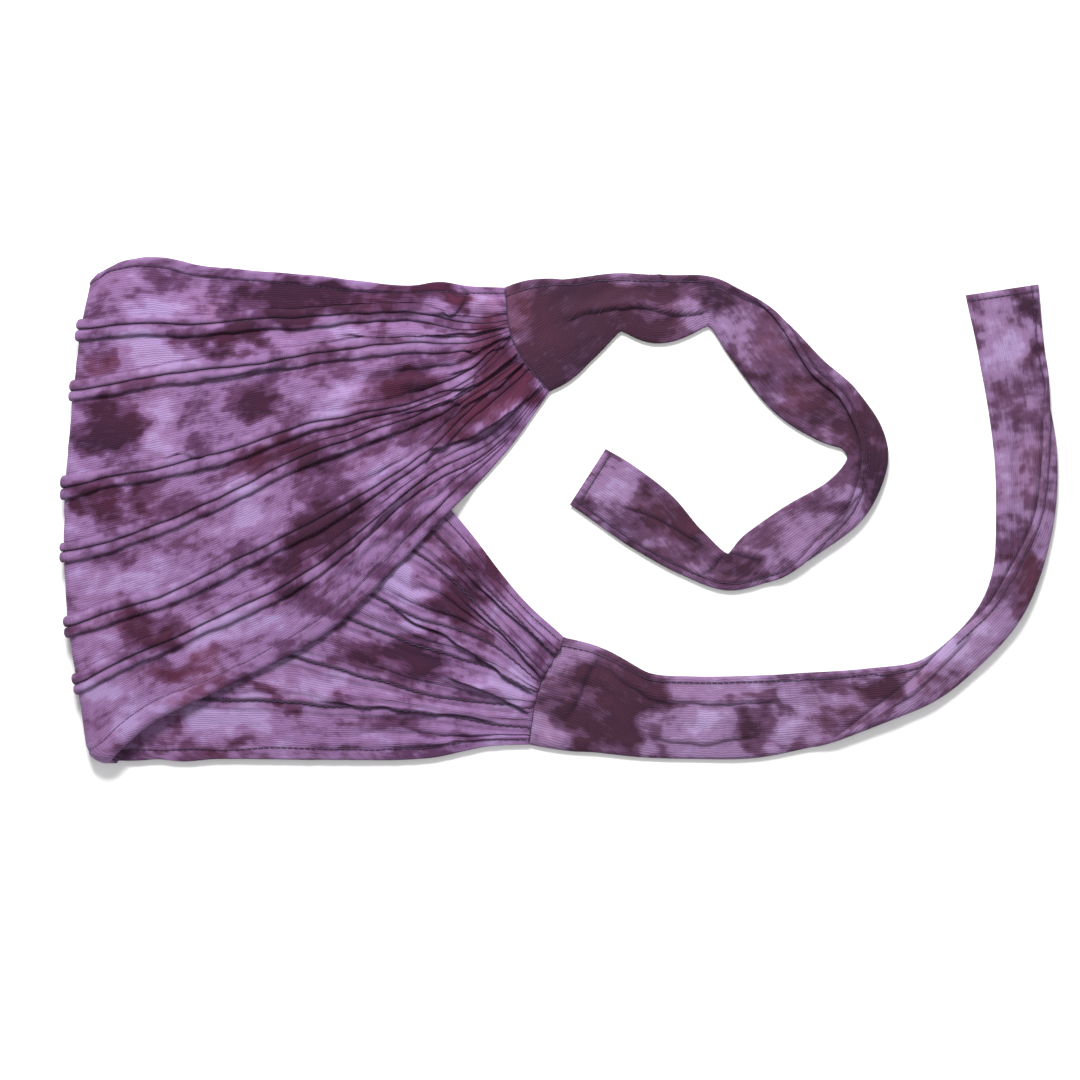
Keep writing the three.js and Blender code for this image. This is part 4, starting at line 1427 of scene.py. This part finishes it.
def stitch_piece(name, runs):
    """One piece of stitching from several runs, each with its points in mm and its options."""
    bm = bmesh.new()
    count = sum(lay_stitches(bm, points, **options) for points, options in runs)
    piece = object_from(bm, name)
    piece.data.materials.append(THREAD)
    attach(piece, "root")
    print(name, "stitches:", count)


print("sides of a thread:", THREAD_SIDES)

# %% [markdown]
# On the band the thread shows along both hems, and as a zigzag on the seams of the back half, whose
# inner side faces up. On the outer side the seams' own thread lies deep between the curled edges,
# where only the dark line is seen, and that line is painted into the cloth's colour, as thread and
# shade together.

# %% Stitches of the band
BACK_ROWS = slice(FOLD_ROWS + HALF_ROWS, None)
ABOVE = np.array([0, 0, 0.3])
ZIGZAG = {"step": 1.7, "shown": 1.02, "zigzag": 0.32, "radius": 0.24}


def hem_runs():
    """Along both hems, on the outside all the way and on the back half's inner side."""
    top, low = strips[0][1], strips[-1][1]
    top_strand, low_strand = HEM_STRANDS - 1, -HEM_STRANDS
    return [
        (top.outer[:, top_strand], {}),
        (low.outer[:, low_strand], {}),
        (low.inner[BACK_ROWS, low_strand] + ABOVE, {}),
        (top.inner[BACK_ROWS, top_strand] + ABOVE, {}),
    ]


def seam_runs():
    """Along the six seams, on the back half's inner side, where the photo shows a zigzag."""
    return [(shape.inner[BACK_ROWS, 0] + ABOVE, ZIGZAG) for _, shape in strips[1:]]


stitch_piece("stitches_hems", hem_runs())
stitch_piece("stitches_seams", seam_runs())

# %% [markdown]
# A tie is closed by stitches along one long edge and across its free end, and thicker thread joins it
# to the band. Each row is laid on whichever face looks up, so that it stays in sight where the tie
# rolls over.

# %% Stitches of the ties
TIE_SEAM_THREAD = {"step": 1.9, "shown": 1.1, "radius": 0.32}


def upper_face(shape, rows, strands):
    """The points of a tie's face that looks up, at some rows and strands."""
    outer, inner = shape.outer[rows, strands], shape.inner[rows, strands]
    return np.where((outer[:, 2] > inner[:, 2])[:, None], outer, inner)


def tie_runs(shape):
    """The stitched long edge, the free end and the seam of a tie, on the side that faces up."""
    pick = np.abs(shape.stitched - TIE_STITCH_INSET).argmin(axis=1)
    edge = upper_face(shape, np.arange(len(pick)), pick) + ABOVE
    cuts = np.flatnonzero(np.abs(np.diff(pick)) > FLOOR_STRANDS) + 1
    from_end = shape.length[-1, 0] - shape.length[:, 0]
    end_row = int(np.abs(from_end - TIE_STITCH_INSET).argmin())
    end = upper_face(shape, end_row, slice(None)) + ABOVE
    seam = upper_face(shape, 0, slice(None))
    runs = [(part, {}) for part in np.split(edge, cuts) if len(part) > 4]
    return runs + [(end[2:-2], {}), (seam, TIE_SEAM_THREAD)]


stitch_piece("stitches_tie_upper", tie_runs(upper_tie))
stitch_piece("stitches_tie_lower", tie_runs(lower_tie))

# %% [markdown]
# A plain pale floor, a little under the headband and wide enough to fill the view from above. It only
# catches the shadow, and it isn't attached to the headband's body like the cloth pieces.

# %% Floor
FLOOR_SIZE = 6.0
FLOOR_DROP = 0.0006
FLOOR_COLOUR = (0.9, 0.9, 0.9, 1)


def make_floor():
    bm = bmesh.new()
    bmesh.ops.create_grid(bm, x_segments=1, y_segments=1, size=FLOOR_SIZE / 2)
    bmesh.ops.translate(bm, verts=bm.verts[:], vec=(0, 0, -FLOOR_DROP))
    floor = object_from(bm, "floor")
    material = bpy.data.materials.new("floor")
    material.use_nodes = True
    shader = material.node_tree.nodes["Principled BSDF"]
    shader.inputs["Base Color"].default_value = FLOOR_COLOUR
    shader.inputs["Roughness"].default_value = 0.9
    shader.inputs["Specular IOR Level"].default_value = 0.1
    floor.data.materials.append(material)


make_floor()
print("floor in m:", FLOOR_SIZE)

# %% [markdown]
# Soft light, as from a large window above the headband, with a wide weak one from the near side to
# fill the shadows. The key light stands beyond the top edge, so each raised seam has its shadow on the
# side towards the viewer. A sun lamp with a wide angle would do too, but a square area light is
# nearer to a real window.

# %% Lights
WORLD_LIGHT = 0.5


def soft_light(name, place, size, power):
    """A square area light that looks at the headband's middle. size in m and power in W."""
    data = bpy.data.lights.new(name, "AREA")
    data.shape = "SQUARE"
    data.size = size
    data.energy = power
    light = bpy.data.objects.new(name, data)
    bpy.context.collection.objects.link(light)
    light.location = place
    light.rotation_euler = (-Vector(place)).to_track_quat("-Z", "Y").to_euler()
    print(name, "light in W:", power)


soft_light("key", place=(-0.2, 1.15, 1.1), size=0.5, power=46)
soft_light("fill", place=(0.3, -0.4, 1.6), size=1.6, power=6)
world = bpy.data.worlds.new("studio")
world.use_nodes = True
world.node_tree.nodes["Background"].inputs["Color"].default_value = (1, 1, 1, 1)
world.node_tree.nodes["Background"].inputs["Strength"].default_value = WORLD_LIGHT
bpy.context.scene.world = world
bpy.context.scene.view_settings.view_transform = "Standard"

# %% [markdown]
# The camera looks straight down from far away with a long lens, so the headband is seen nearly
# without perspective, as in a catalogue picture.

# %% Camera
LENS = 120
SENSOR = 36
# The height over the floor, in m, at which a pixel of the view is MM_PER_PIXEL wide
SCALE_HEIGHT = 0.005
camera_data = bpy.data.cameras.new("camera")
camera_data.lens = LENS
camera_data.sensor_width = SENSOR
camera = bpy.data.objects.new("camera", camera_data)
bpy.context.collection.objects.link(camera)
view_width = VIEW_PIXELS * MM_PER_PIXEL * MM
camera_height = view_width * LENS / SENSOR + SCALE_HEIGHT
camera.location = (VIEW_CENTRE[0] * MM, VIEW_CENTRE[1] * MM, camera_height)
bpy.context.scene.camera = camera
print("camera height:", round(camera_height, 3), "m")
